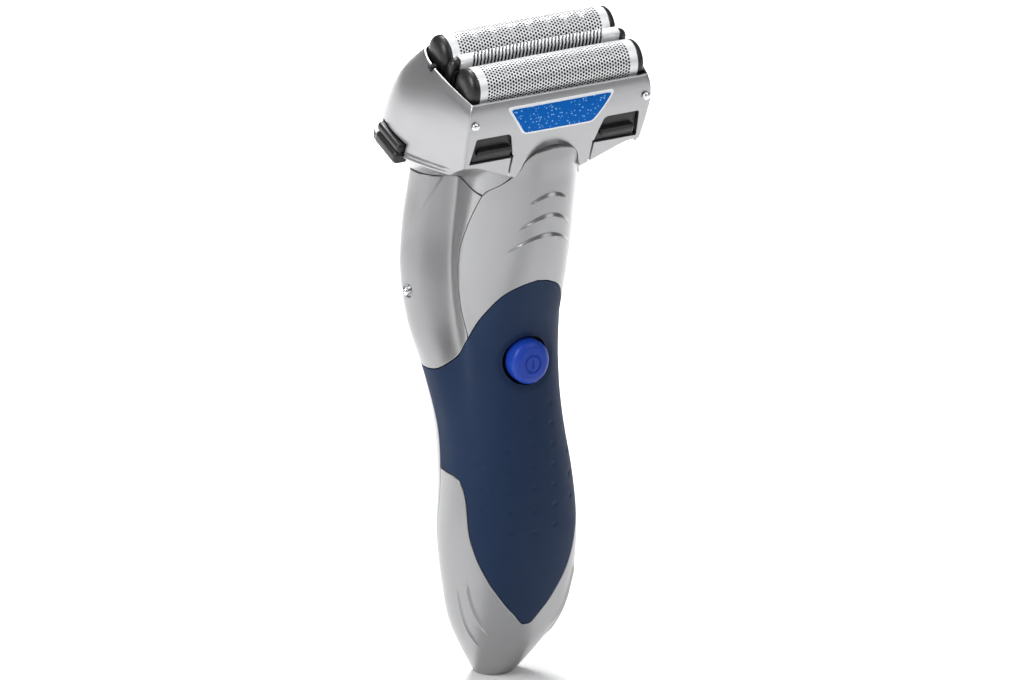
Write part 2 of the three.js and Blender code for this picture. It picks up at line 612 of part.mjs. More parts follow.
// Inner blades: thin arched fins on a bar, one for each foil.
function bladeShape(y, radius, axis, fins) {
  const bar = box(-18.4, 18.4, y - radius * 0.55, y + radius * 0.55, axis - 4.2, axis - 0.4);
  const pitch = 36.4 / (fins - 1);
  const parts = Array.from({ length: fins }, (_, i) => {
    const shape = new THREE.Shape();
    shape.moveTo(radius, -1.2);
    shape.absarc(0, 0, radius, 0, Math.PI, false);
    shape.lineTo(-radius, -1.2);
    const fin = new THREE.ExtrudeGeometry(shape, { depth: 0.6, bevelEnabled: false, curveSegments: 6 });
    return fin.rotateX(Math.PI / 2).rotateZ(Math.PI / 2).translate(-18.2 + i * pitch - 0.3, y, axis);
  });
  const bores = BLADE_PINS.map((x) => post(1.15, axis - 6, axis - 2.2, x, y, 10));
  return cut(join(bar, ...parts), ...bores);
}
const foilAxis = FOIL_TOP - FOIL_R;
headPiece('blade_front', bladeShape(FOIL_Y[0], FOIL_R - FOIL_T - 0.25, foilAxis, 9), 'steel');
headPiece('blade_back', bladeShape(FOIL_Y[2], FOIL_R - FOIL_T - 0.25, foilAxis, 9), 'steel');
const slitBlade = join(
  box(-18.4, 18.4, FOIL_Y[1] - 0.7, FOIL_Y[1] + 0.7, 1.2, SLIT_TOP - 0.7),
  box(-18.4, 18.4, FOIL_Y[1] - 1.9, FOIL_Y[1] + 1.9, -3.2, 0.2),
  box(-18.4, 18.4, FOIL_Y[1] - 0.6, FOIL_Y[1] + 0.6, 0, 1.4),
);
const slitBores = BLADE_PINS.map((x) => post(1.15, -5, -1.2, x, FOIL_Y[1], 10));
headPiece('blade_centre', cut(slitBlade, ...slitBores), 'steel');

// ---------------------------------------------------------------- foils and their end caps
// Arched sheet: outline rows are (y, z) of the outside; thickness inward.
function arch(y, radius, top, foot, thick, half, steps) {
  return slab(steps, 1, (u, v, layer) => {
    const r = radius - layer * thick;
    const leg = 0.18;
    const x = lerp(-half, half, v);
    if (u < leg) return [x, y - r, lerp(foot, top - radius, u / leg)];
    if (u > 1 - leg) return [x, y + r, lerp(foot, top - radius, (1 - u) / leg)];
    const q = rad(lerp(-90, 90, (u - leg) / (1 - 2 * leg)));
    return [x, y + r * Math.sin(q), top - radius + r * Math.cos(q)];
  });
}
headPiece('foil_front', arch(FOIL_Y[0], FOIL_R, FOIL_TOP, -2.4, FOIL_T, FOIL_HALF - GAP, 22), 'foil');
headPiece('foil_back', arch(FOIL_Y[2], FOIL_R, FOIL_TOP, -2.4, FOIL_T, FOIL_HALF - GAP, 22), 'foil');
const slitStrip = slab(7, 1, (u, v, layer) => {
  const rows = [[-SLIT_HALF, 0.4], [-SLIT_HALF, 2.6], [-SLIT_HALF, 4.1], [-SLIT_HALF + 0.4, SLIT_TOP],
    [SLIT_HALF - 0.4, SLIT_TOP], [SLIT_HALF, 4.1], [SLIT_HALF, 2.6], [SLIT_HALF, 0.4]];
  const [y, z] = rows[Math.round(u * 7)];
  const shrink = layer ? FOIL_T : 0;
  return [lerp(-FOIL_HALF + GAP, FOIL_HALF - GAP, v), FOIL_Y[1] + y - Math.sign(y) * shrink,
    z > 0.4 && layer ? z - (z > 4 ? FOIL_T : 0) : z];
});
headPiece('foil_centre', slitStrip, 'foil');
function endCap(side, y, radius, top, foot) {
  const axis = top - radius;
  const stations = [[20.6, 1, 0], [21.4, 0.98, 0], [22.1, 0.84, -0.3], [22.4, 0.6, -0.7]];
  const rings = stations.map(([x, size, drop]) => {
    const points = [];
    for (let i = 0; i <= 6; i += 1) {
      const q = rad(-90 + 30 * i);
      points.push([side * x, y + radius * size * Math.sin(q), axis + drop + radius * size * Math.cos(q)]);
    }
    points.push([side * x, y + radius * size, foot], [side * x, y - radius * size, foot]);
    return points;
  });
  return loft(rings);
}
const ELEMENTS = [['front', 0, FOIL_R - 0.1, FOIL_TOP - 0.2], ['centre', 1, 1.3, SLIT_TOP - 0.2],
  ['back', 2, FOIL_R - 0.1, FOIL_TOP - 0.2]];
for (const [name, k, radius, top] of ELEMENTS) {
  for (const [label, side] of [['left', -1], ['right', 1]]) {
    headPiece(`cap_${name}_${label}`, endCap(side, FOIL_Y[k], radius, top, -2.2), 'black');
  }
}

// ---------------------------------------------------------------- head frame and cassette
// Lower edge of the frame: level round the sides and back, a shield shape at the front.
function frameFoot(turn) {
  const t = turn > 180 ? 360 - turn : turn;
  if (t <= 40) return curve([[0, -23.6], [14, -22.2], [26, -19.2], [34, -17.2], [40, -16.8]], t);
  const rough = head(turn, -22);
  return lerp(-16.8, headHeight(rough[1], 130), Math.min(1, (t - 40) / 6.5));
}
const FRAME_TURNS = 54;
const frameRows = [0, 0.07, 0.17, 0.36, 0.62, 1];
const frameInset = (s) => (s === 0 ? 0.4 : s < 0.1 ? 1.2 : FRAME_WALL);
const frameRing = (s, hollow) => ringOf(FRAME_TURNS, (turn) => {
  const z = frameFoot(turn) * s;
  return head(turn, z, hollow ? frameInset(s) : 0);
});
const frameShell = band(frameRows.map((s) => frameRing(s, false)), frameRows.map((s) => frameRing(s, true)));
const WINDOW = [[10.2, -15.8], [21.2, -15.8], [20.8, -8.6], [12, -8.6]];
const windowCut = (side) => pushed(WINDOW, -20, -9, side);
const slotCut = (side) => sideBox(side, 10.2, 10.8, -20, -9, -24, -15);
const CATCH_Y = 3.5;
const CATCH_Z = -0.3;
const catchPost = (side, radius, x0, x1) => post(radius, x0, x1, 0, 0, 14).rotateY(side * Math.PI / 2)
  .translate(0, CATCH_Y, CATCH_Z);
const sideNotch = (side) => sideBox(side, 22, 33, 2.8, 13.6, -34, -20.4);
const frameOpenings = [-1, 1].flatMap((side) => [windowCut(side), slotCut(side), sideNotch(side),
  catchPost(side, 1.05, 20, 30)]);
headPiece('foil_frame', cut(frameShell, outOfHead(frameClear), ...frameOpenings), 'silver');
for (const [name, side] of [['left', -1], ['right', 1]]) {
  headPiece(`foil_catch_${name}`, catchPost(side, 0.75, 23.3, 25.2), 'black');
  const profile = [[26.2, -26.2], [29, -26.2], [29.9, -25.2], [29.9, -23.6], [29.1, -22.9], [29.6, -22.3],
    [29.6, -21.4], [29, -20.8], [26.2, -20.8]];
  headPiece(`frame_release_${name}`, pushed(profile, 3.2, 13.2, side), 'black');
  const rivet = turned([[0, 0.1], [0.9, 0.1], [0.9, 0.5], [0.5, 0.95], [0, 1]], 12)
    .rotateX(Math.PI / 2).translate(side * 21.8, -14.42, -4.7);
  headPiece(`frame_rivet_${name}`, rivet, 'chrome');
}

const cassetteRing = cut(
  box(-21.5, 21.5, -12.3, 10.7, -14.6, -4.6),
  box(-20.4, 20.4, -11.7, 10.1, -20, 0),
);
const latch = (side) => join(
  pushed([[10.9, -15.2], [20.6, -15.2], [20.3, -9.2], [12.3, -9.2]], -14.1, -12, side),
  sideBox(side, 11.6, 20, -15.2, -12, -13.6, -12.2),
);
// Thin rails beside the slit strip, held by posts between the end caps.
const rails = [-1, 1].flatMap((edge) => {
  const y0 = FOIL_Y[1] + edge * 1.75 - 0.25;
  return [
    box(-22, 22, y0, y0 + 0.5, 0.7, 2.2),
    box(-22, -20.8, y0, y0 + 0.5, -6, 2.2),
    box(20.8, 22, y0, y0 + 0.5, -6, 2.2),
  ];
});
const railFeet = [-1, 1].map((side) => sideBox(side, 20.8, 21.5, -4, 3, -7, -4.7));
headPiece('foil_cassette', join(cassetteRing, latch(-1), latch(1), ...railFeet, ...rails), 'black');

// Badge: a white tapered plate and a blue field that lies on it.
function badge(edge, y0, y1) {
  return slab(6, 4, (u, v, layer) => {
    const z = lerp(-9.4 + edge, -1.6 - edge, v);
    const half = lerp(8.9, 13.9, v) - edge * 1.15;
    return [lerp(-half, half, u), -curve(HEAD, z, 4) - (layer ? y0 : y1), z];
  });
}
headPiece('badge_plate', badge(0, 0.06, 0.5), 'white');
headPiece('badge_field', badge(0.55, 0.56, 0.75), 'badge');

export default group;
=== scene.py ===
"""Foil shaver: fine surfaces, finishes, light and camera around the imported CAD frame.

Shapes are drawn in the object's own units (millimetres, axis of the handle at y = 0, front toward -Y)
and moved into the frame by place(). Lengths in the tables are millimetres, angles are degrees.
"""
import json
import math

import bmesh
import bpy
import numpy as np
from mathutils import Matrix, Vector


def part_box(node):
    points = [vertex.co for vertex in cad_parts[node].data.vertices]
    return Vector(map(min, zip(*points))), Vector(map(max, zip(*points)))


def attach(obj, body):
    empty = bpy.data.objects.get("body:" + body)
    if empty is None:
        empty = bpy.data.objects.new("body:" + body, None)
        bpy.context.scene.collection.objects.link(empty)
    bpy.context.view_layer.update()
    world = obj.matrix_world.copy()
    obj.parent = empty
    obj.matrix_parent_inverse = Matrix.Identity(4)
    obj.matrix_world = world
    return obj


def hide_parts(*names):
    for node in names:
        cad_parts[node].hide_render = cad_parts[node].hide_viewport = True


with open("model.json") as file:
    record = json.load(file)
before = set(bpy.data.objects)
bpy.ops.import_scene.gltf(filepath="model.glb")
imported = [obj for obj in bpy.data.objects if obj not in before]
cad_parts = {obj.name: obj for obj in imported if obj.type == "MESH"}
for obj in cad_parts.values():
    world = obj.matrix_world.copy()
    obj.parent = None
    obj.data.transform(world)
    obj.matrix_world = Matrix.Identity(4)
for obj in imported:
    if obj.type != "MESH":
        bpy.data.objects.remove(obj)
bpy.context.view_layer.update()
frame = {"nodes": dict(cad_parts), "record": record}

# ------------------------------------------------------------------ driving dimensions
MM = 0.001
MOTOR_Y = -2.0                   # the motor's axis, which ties the drawing to the frame
motor_low, motor_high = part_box("motor_can")
SHIFT_Y = (motor_low.y + motor_high.y) / 2 / MM - MOTOR_Y
SEAM = 0.09                      # half the gap between housing panels
SHELL = 1.6                      # wall of the housing panels
HANDLE_TOP = 121.0
TONGUE_TOP = 134.6
TONGUE_RISE = 0.7                # how far the tip of the tongue stands out of the handle's surface
PITCH = math.radians(17.5)       # forward lean of the head
HEAD_Y, HEAD_Z = -16.1, 152.5    # origin of the head frame, on the rim
FOIL_HALF = 20.6                 # half length of the cutting elements
FOIL_R = 4.4
FOIL_TOP = 5.4
FOIL_END = FOIL_HALF - 0.3       # where the sheets stop, short of the end caps
FOIL_FOOT = -2.4
FOIL_SHEET = 0.12                # thickness of the perforated sheet
FOIL_Y = {"front": -7.5, "centre": -0.8, "back": 5.9}
HOLE_PITCH, HOLE_R = 0.8, 0.315
CAP_FOOT = -2.2
SLIT_HALF, SLIT_TOP = 1.25, 4.6
SLIT_PITCH, SLIT_BAR = 0.9, 0.36
SLIT_PLAIN = 3.3                 # plain length at each end of the slit strip
SLIT_LEAN = 0.55
FRAME_WALL = 1.6
CORNER_TURN = 1.1                # turn over which the head's front corner is softened
BUTTON_Z, BUTTON_R = 79.4, 5.4
BUTTON_Y = -13.9                 # seat of the button
BUTTON_SQUEEZE = [0.88, 1, 0.97]
ICON_R, ICON_LINE, ICON_DEPTH = 2.1, 0.3, 0.32
PIN_ANGLE, PIN_Z, PIN_R = 89.6, 92.5, 1.05
CATCH_Y, CATCH_Z, CATCH_R = 3.5, -0.3, 0.75
RELEASE_Y = (3.2, 13.2)          # frame release buttons
RELEASE_Z = (-26.2, -20.8)
RIVET = (21.8, -14.42, -4.7)     # rivets beside the badge
RIVET_R = 1.0
WINDOW = ((10.2, -15.8), (12.0, -8.6), (20.8, -8.6), (21.4, -15.8))
WINDOW_CORNERS = (0.3, 1.5, 0.5, 0.3)
BADGE_FOOT, BADGE_TOP = -9.4, -1.6
BADGE_HALF = (8.9, 13.9)         # half width of the badge at its foot and its top
CREASE = 0.16                    # height of the crease along the seam, as a share of the hollow

# Handle sections: height, axis y, half width, depth to the front, depth to the back,
# squareness of the back, depth of the hollow beside the front spine, its angle.
SECTIONS = [
    [0, 2.6, 4.8, 4.3, 4.2, 2.0, 0, 62],
    [2, 1.8, 6.0, 5.4, 5.4, 2.0, 0, 62],
    [6.5, 0, 8.9, 7.2, 7.2, 2.0, 0, 62],
    [14.5, -2.6, 13.2, 9.4, 9.8, 2.1, 0, 62],
    [24, -3.8, 15.5, 10.9, 11.6, 2.1, 0, 62],
    [36, -3.6, 16.4, 12.9, 12.6, 2.2, 0, 62],
    [50, -3.0, 15.1, 13.6, 14.0, 2.3, 0, 62],
    [60, -0.6, 14.2, 15.3, 14.2, 2.5, 0.2, 60],
    [72, 3.6, 15.2, 17.8, 11.8, 2.7, 1.6, 58],
    [84, 7.4, 18.0, 20.8, 9.0, 2.9, 5.0, 56],
    [96, 9.2, 19.3, 25.8, 7.4, 3.0, 7.0, 54],
    [108, 9.8, 18.5, 30.5, 6.6, 3.0, 7.6, 52],
    [118, 9.0, 17.4, 32.6, 6.4, 3.0, 7.6, 50],
    [128, 7.6, 17.0, 33.0, 5.4, 3.0, 7.4, 50],
    [138, 6.2, 17.0, 33.2, 5.0, 3.0, 7.0, 50],
]
SEAM_ANGLE = [[0, 51], [60, 49.4], [76.4, 41.7], [84.5, 39.7], [93.1, 43.7], [102.6, 43.3], [111.2, 36.3],
              [121, 28]]
REAR_ANGLE = [[0, 104], [50, 104], [74, 108], [92, 112], [121, 112]]
TONGUE_ANGLE = [[121, 28], [122.7, 25.5], [124.8, 20.2], [126.8, 16.4], [129.2, 13.5], [131.5, 11.9],
                [133, 9.4], [134, 6], [134.6, 1.8]]
GRIP_TOP = [[0, 100], [5.7, 99.4], [15.4, 97], [27.4, 91], [39.5, 84.6], [52.2, 79.9], [65.8, 77.2],
            [80, 75.2], [92.7, 74.5], [112, 74.2]]
GRIP_FOOT = [[0, 15.8], [5, 15.9], [17.3, 18.4], [35.8, 23.2], [49, 28.8], [58.2, 35.4], [62.8, 40.6],
             [65.7, 46.6], [70.5, 50.2], [78.2, 51.6], [90.7, 51.9], [112, 51.7]]
CRESCENTS = [[8.7, 120.4, 122.3], [12.6, 113.5, 117], [16, 107.9, 111.9]]
RIBS = [[[25.2, 76.7], [19.3, 74.6], [13.9, 69.6], [9.7, 60.9]],
        [[26.8, 66.6], [22.5, 64.8], [17.1, 57.3], [13.3, 46.7]]]
# Head sections below the rim: height, half width, half width of the front face,
# half width of the back face, front, back, widest y.
HEAD = [
    [-32, 28.2, 21.8, 19.6, 13.2, 22.6, 11],
    [-24, 28.5, 22.4, 20.0, 13.6, 22.6, 10],
    [-17, 28.1, 22.6, 20.4, 14.0, 21.0, 8],
    [-10, 27.2, 23.2, 20.6, 14.4, 18.2, 5],
    [-4.5, 25.8, 23.3, 20.8, 14.4, 14.6, 3],
    [-1.5, 24.8, 22.9, 21.2, 13.7, 12.2, 2.5],
    [0, 24.2, 22.4, 21.4, 13.0, 11.0, 2.5],
]
SIDE_POWER = 1.7                 # bow of the head's side between the front corner and its widest point
# Lamps: name, place, aim and size in metres, power in watts, spread in degrees.
OBJECT_MIDDLE = (0, 0, 0.09)
LAMPS = (
    ("left", (-1.0, -0.05, 0.7), OBJECT_MIDDLE, 0.6, 9.0, 180),
    ("front", (0.5, -0.95, 0.9), OBJECT_MIDDLE, 0.95, 4.2, 180),
    ("top", (-0.1, 0.15, 1.1), OBJECT_MIDDLE, 0.5, 2.2, 180),
    ("floor", (0.3, 0.95, 1.3), (0.3, 0.75, 0), 0.5, 12.0, 80),
)
SKY_LOW, SKY_RISE = 0.12, 0.5    # light of the surroundings at the horizon, and what it gains overhead
VIEW_TURN, VIEW_RISE = math.radians(-29), math.radians(20)
VIEW_DISTANCE = 5000.0
VIEW_WIDTH = 229.73              # width that the camera sees at that distance
VIEW_SHIFT = (3.83, 4.73)        # the button lies this far right of and below the middle of the view


# ------------------------------------------------------------------ surfaces
def mix(a, b, t):
    """Value between a and b at share t."""
    return a + (b - a) * t


def smooth_step(t):
    """Eased step from 0 to 1."""
    t = np.clip(t, 0, 1)
    return t * t * (3 - 2 * t)


def curve(table, x, column=1):
    """Smooth curve through the rows of a table, read at x from the given column."""
    table = np.asarray(table, float)
    xs, ys = table[:, 0], table[:, column]
    at = np.clip(x, xs[0], xs[-1])
    i = np.clip(np.searchsorted(xs, at, side="left") - 1, 0, len(xs) - 2)
    step = np.diff(xs)
    slope = np.diff(ys) / step
    inner = (slope[:-1] * step[1:] + slope[1:] * step[:-1]) / (step[:-1] + step[1:])
    tangent = np.concatenate([slope[:1], inner, slope[-1:]])
    h = step[i]
    t = (at - xs[i]) / h
    t2, t3 = t * t, t * t * t
    return ((2 * t3 - 3 * t2 + 1) * ys[i] + (t3 - 2 * t2 + t) * h * tangent[i]
            + (3 * t2 - 2 * t3) * ys[i + 1] + (t3 - t2) * h * tangent[i + 1])


def handle(angle, z, inset=0.0):
    """Points on the handle: angle from the front (positive toward +X), height, inset."""
    angle, z, inset = np.broadcast_arrays(*(np.asarray(v, float) for v in (angle, z, inset)))
    axis, wide, front, back, square, hollow, where = (curve(SECTIONS, z, k) for k in range(1, 8))
    sine, cosine = np.sin(np.radians(angle)), np.cos(np.radians(angle))
    power = np.where(cosine > 0, np.minimum(2.1, square), square)
    depth = np.where(cosine > 0, front, back)
    r = ((np.abs(sine) / wide) ** power + (np.abs(cosine) / depth) ** power) ** (-1 / power)
    turn = np.abs((angle + 180) % 360 - 180)
    crease = np.exp(-((turn - curve(SEAM_ANGLE, z)) / 7) ** 2)
    r = r - hollow * (np.exp(-((turn - where) / 20) ** 2) - CREASE * crease) - inset
    return np.stack([r * sine, axis - r * cosine, z], -1)


def head(turn, z, inset=0.0):
    """Points on the head's outline: turn 0 at the front centre, 180 at the back centre.

    The front face ends in a corner at turn 40; the back runs round in an ellipse.
    """
    turn, z, inset = np.broadcast_arrays(*(np.asarray(v, float) for v in (turn, z, inset)))
    wide, corner, straight, front, back, widest = (curve(HEAD, z, k) for k in range(1, 7))
    side = np.where(turn > 180, -1.0, 1.0)
    t = np.where(turn > 180, 360 - turn, turn)
    w = np.clip((t - 40) / 50, 0, 1)
    q = np.radians(np.clip((t - 90) / 50 * 90, 0, 90))
    bow = 1 - (1 - w) ** SIDE_POWER
    x = np.select([t <= 40, t >= 140, t < 90],
                  [corner * t / 40, straight * (180 - t) / 40, corner + (wide - corner - inset) * bow],
                  straight + (wide - straight - inset) * np.cos(q))
    y = np.select([t <= 40, t >= 140, t < 90],
                  [-front + inset, back - inset, mix(-front + inset, widest, w)],
                  widest + (back - widest - inset) * np.sin(q))
    return np.stack([side * x, y, z], -1)


def soft_head(turn, z, inset=0.0):
    """The head's outline with its front corner slightly rounded."""
    before, after = head(turn - CORNER_TURN, z, inset), head(turn + CORNER_TURN, z, inset)
    return (before + 2 * head(turn, z, inset) + after) / 4


def from_head(points):
    """Head frame to object frame."""
    x, y, z = np.moveaxis(np.asarray(points, float), -1, 0)
    return np.stack([x, HEAD_Y + y * math.cos(PITCH) - z * math.sin(PITCH),
                     HEAD_Z + y * math.sin(PITCH) + z * math.cos(PITCH)], -1)


def head_height(y, z):
    """Height in the head frame of the point at y that lies at object height z."""
    return (z - HEAD_Z - y * math.sin(PITCH)) / math.cos(PITCH)


def place(points):
    """Millimetres on the drawing to metres in the frame."""
    return (np.asarray(points, float).reshape(-1, 3) + [0, SHIFT_Y, 0]) * MM


def angle_for(distance, angle, z):
    """Angle on the handle that covers the given distance."""
    across = handle(angle + 1, z) - handle(angle - 1, z)
    return 2 * distance / np.linalg.norm(across[..., :2], axis=-1)


def height_for(distance, table, angle):
    """Height step that keeps the given distance square to a sloping edge."""
    rise = curve(table, angle + 1) - curve(table, angle - 1)
    here = curve(table, angle)
    across = handle(angle + 1, here) - handle(angle - 1, here)
    slope = rise / np.linalg.norm(across[..., :2], axis=-1)
    return distance * np.sqrt(1 + slope ** 2)


def edge_height(table, angle, gap):
    """Height of a sloping panel edge, lowered by gap (raised where gap is negative)."""
    turn = np.abs(angle)
    return curve(table, turn) - np.sign(gap) * height_for(abs(gap), table, turn)


def seam_angle(z):
    """Angle of the seam between the front and side panels."""
    return curve(SEAM_ANGLE, z)


def rear_angle(z):
    """Angle of the seam between the side panels and the rear half."""
    return curve(REAR_ANGLE, z)


def front_edge(z):
    """Angle of the front panel's edge, which narrows to the tongue above the handle."""
    return np.where(z > HANDLE_TOP, curve(TONGUE_ANGLE, z), curve(SEAM_ANGLE, z))


def dense(count, pull=0.88):
    """Steps from 0 to 1 that crowd at both ends, where the edges are rounded."""
    t = np.linspace(0, 1, count + 1)
    return t - pull * np.sin(2 * np.pi * t) / (2 * np.pi)


def panel_grid(left, right, foot, top, columns, rows):
    """Angles and heights of a grid between two edge angles and two edge heights."""
    u, v = dense(columns), dense(rows)
    low, high = np.full(u.shape, 60.0), np.full(u.shape, 110.0)
    for _ in range(24):
        low = mix(low, foot(mix(left(low), right(low), u)), 0.7)
        high = mix(high, top(mix(left(high), right(high), u)), 0.7)
    z = mix(low[None, :], high[None, :], v[:, None])
    return mix(left(z), right(z), u[None, :]), z


def edge_distance(points, edges=((0, 0), (0, -1), (1, 0), (1, -1))):
    """Distance of each grid point from the nearest of the named edges, as (axis, end) pairs."""
    best = np.full(points.shape[:2], 1e9)
    for axis, end in edges:
        edge = np.take(points, end, axis)
        along = np.gradient(edge, axis=0)
        along /= np.maximum(np.linalg.norm(along, axis=-1, keepdims=True), 1e-9)
        edge, along = (np.expand_dims(v, axis) for v in (edge, along))
        away = points - edge
        away = away - (away * along).sum(-1, keepdims=True) * along
        best = np.minimum(best, np.linalg.norm(away, axis=-1))
    return best


def rounding(distance, radius):
    """How far a surface drops at that distance from an edge of the given radius."""
    d = np.clip(distance, 0, radius)
    return radius - np.sqrt(np.maximum(radius ** 2 - (radius - d) ** 2, 0))


# ------------------------------------------------------------------ meshes
def grid_faces(rows, columns, closed=False):
    """Four-sided faces of a grid of points, joined round where it is closed."""
    i = np.arange(columns if closed else columns - 1)
    j = np.arange(rows - 1)[:, None]
    a, b = j * columns + i, j * columns + (i + 1) % columns
    return np.stack([a, b, b + columns, a + columns], -1).reshape(-1, 4)


def volume_of(points, faces):
    """Signed volume of a mesh of four-sided faces."""
    a, b, c, d = (points[faces[:, k]] for k in range(4))
    return (np.einsum("ij,ij->i", a, np.cross(b, c)) + np.einsum("ij,ij->i", a, np.cross(c, d))).sum() / 6


def skin(outer, inner, faces):
    """Closed solid from an outer and an inner skin that share the four-sided faces."""
    outer, inner = np.reshape(outer, (-1, 3)), np.reshape(inner, (-1, 3))
    n = len(outer)
    start = faces.ravel()
    end = np.roll(faces, -1, axis=1).ravel()
    open_edge = ~np.isin(start * n + end, end * n + start)
    a, b = start[open_edge], end[open_edge]
    walls = np.stack([b, a, a + n, b + n], -1)
    every = np.concatenate([faces, faces[:, ::-1] + n, walls])
    points = np.concatenate([outer, inner])
    return points, every if volume_of(points, every) > 0 else every[:, ::-1]


def make(name, points, faces, sharp=35):
    """A Blender object from millimetre points, shaded smooth between sharp edges."""
    mesh = bpy.data.meshes.new(name)
    mesh.from_pydata(place(points).tolist(), [], np.asarray(faces).tolist()
                     if isinstance(faces, np.ndarray) else faces)
    return as_object(name, mesh, sharp)


def as_object(name, mesh, sharp=35):
    mesh.update()
    obj = bpy.data.objects.new(name, mesh)
    bpy.context.scene.collection.objects.link(obj)
    shade(obj, sharp)
    return obj


def shade(obj, sharp=35):
    """Smooth shading with edges above the given angle left sharp."""
    mesh = obj.data
    mesh.polygons.foreach_set("use_smooth", [True] * len(mesh.polygons))
    mesh.set_sharp_from_angle(angle=math.radians(sharp))
    mesh.update()


def from_bmesh(name, bm, sharp=35):
    bmesh.ops.recalc_face_normals(bm, faces=bm.faces[:])
    mesh = bpy.data.meshes.new(name)
    bm.to_mesh(mesh)
    bm.free()
    return as_object(name, mesh, sharp)


def loft(name, rings, sharp=40):
    """Closed rings stacked into a solid with flat ends."""
    rings = np.asarray(rings, float)
    count, n = rings.shape[:2]
    faces = grid_faces(count, n, closed=True).tolist()
    faces += [list(range(n))[::-1], list(range((count - 1) * n, count * n))]
    bm = bmesh.new()
    verts = [bm.verts.new(p) for p in place(rings)]
    for f in faces:
        bm.faces.new([verts[i] for i in f])
    return from_bmesh(name, bm, sharp)


def turned(name, profile, matrix, sides=64, sharp=40):
    """Body of revolution about z; profile rows are (radius, height), first and last on the axis."""
    a = np.arange(sides) * 2 * np.pi / sides
    rings = [[(r * math.cos(t), r * math.sin(t), z) for t in a] for r, z in profile[1:-1]]
    points = [(0, 0, profile[0][1])] + [p for ring in rings for p in ring] + [(0, 0, profile[-1][1])]
    last = len(points) - 1
    faces = []
    for i in range(sides):
        k = (i + 1) % sides
        faces.append([0, 1 + k, 1 + i])
        faces.append([last, last - sides + i, last - sides + k])
    faces += (grid_faces(len(rings), sides, closed=True) + 1).tolist()
    moved = [matrix @ Vector(p) for p in points]
    return make(name, np.array(moved), faces, sharp)


def bar(name, x, y, z, radius=0.4, matrix=None, segments=4):
    """Box between two values on each axis with rounded edges."""
    bm = bmesh.new()
    bmesh.ops.create_cube(bm, size=1)
    for v in bm.verts:
        v.co = Vector([mix(lo, hi, c + 0.5) for (lo, hi), c in zip((x, y, z), v.co)])
    if radius:
        bmesh.ops.bevel(bm, geom=bm.edges[:], offset=radius, segments=segments, profile=0.5,
                        affect="EDGES", clamp_overlap=True)
    if matrix is not None:
        bm.transform(matrix)
    bm.transform(Matrix.Scale(MM, 4) @ Matrix.Translation((0, SHIFT_Y, 0)))
    return from_bmesh(name, bm)


HEAD_MATRIX = Matrix.Translation((0, HEAD_Y, HEAD_Z)) @ Matrix.Rotation(PITCH, 4, "X")


def prism(name, outline, y0, y1, matrix=None):
    """Outline of (x, z) points pushed through from y0 to y1."""
    n = len(outline)
    bm = bmesh.new()
    rows = [[bm.verts.new((x, y, z)) for x, z in outline] for y in (y0, y1)]
    bm.faces.new(rows[0])
    bm.faces.new(rows[1][::-1])
    for i in range(n):
        k = (i + 1) % n
        bm.faces.new([rows[0][i], rows[0][k], rows[1][k], rows[1][i]])
    if matrix is not None:
        bm.transform(matrix)
    bm.transform(Matrix.Scale(MM, 4) @ Matrix.Translation((0, SHIFT_Y, 0)))
    return from_bmesh(name, bm)


def rounded_outline(corners, radii, steps=7):
    """Polygon with round corners, one radius for each corner."""
    points = []
    n = len(corners)
    for i, (corner, radius) in enumerate(zip(corners, radii)):
        here = np.array(corner, float)
        before = np.array(corners[i - 1], float) - here
        after = np.array(corners[(i + 1) % n], float) - here
        before /= np.linalg.norm(before)
        after /= np.linalg.norm(after)
        half = math.acos(float(np.clip(before @ after, -1, 1))) / 2
        reach = radius / math.tan(half)
        a, b = here + before * reach, here + after * reach
        for t in np.linspace(0, 1, steps):
            p = (1 - t) ** 2 * a + 2 * t * (1 - t) * here + t ** 2 * b
            points.append((float(p[0]), float(p[1])))
    return points


def combine(obj, tools, operation="DIFFERENCE", sharp=35):
    """Cuts the tools from the object, or joins them to it, and keeps the result."""
    for tool in tools:
        m = obj.modifiers.new("combine", "BOOLEAN")
        m.operation = operation
        m.solver = "MANIFOLD"
        m.object = tool
    bpy.context.view_layer.update()
    graph = bpy.context.evaluated_depsgraph_get()
    mesh = bpy.data.meshes.new_from_object(obj.evaluated_get(graph))
    obj.modifiers.clear()
    obj.data = mesh
    for tool in tools:
        bpy.data.objects.remove(tool)
    shade(obj, sharp)
    return obj


def merge(name, parts):
    """Several objects as one piece."""
    bm = bmesh.new()
    for part in parts:
        bm.from_mesh(part.data)
    mesh = bpy.data.meshes.new(name)
    bm.to_mesh(mesh)
    bm.free()
    for part in parts:
        bpy.data.objects.remove(part)
    return as_object(name, mesh)


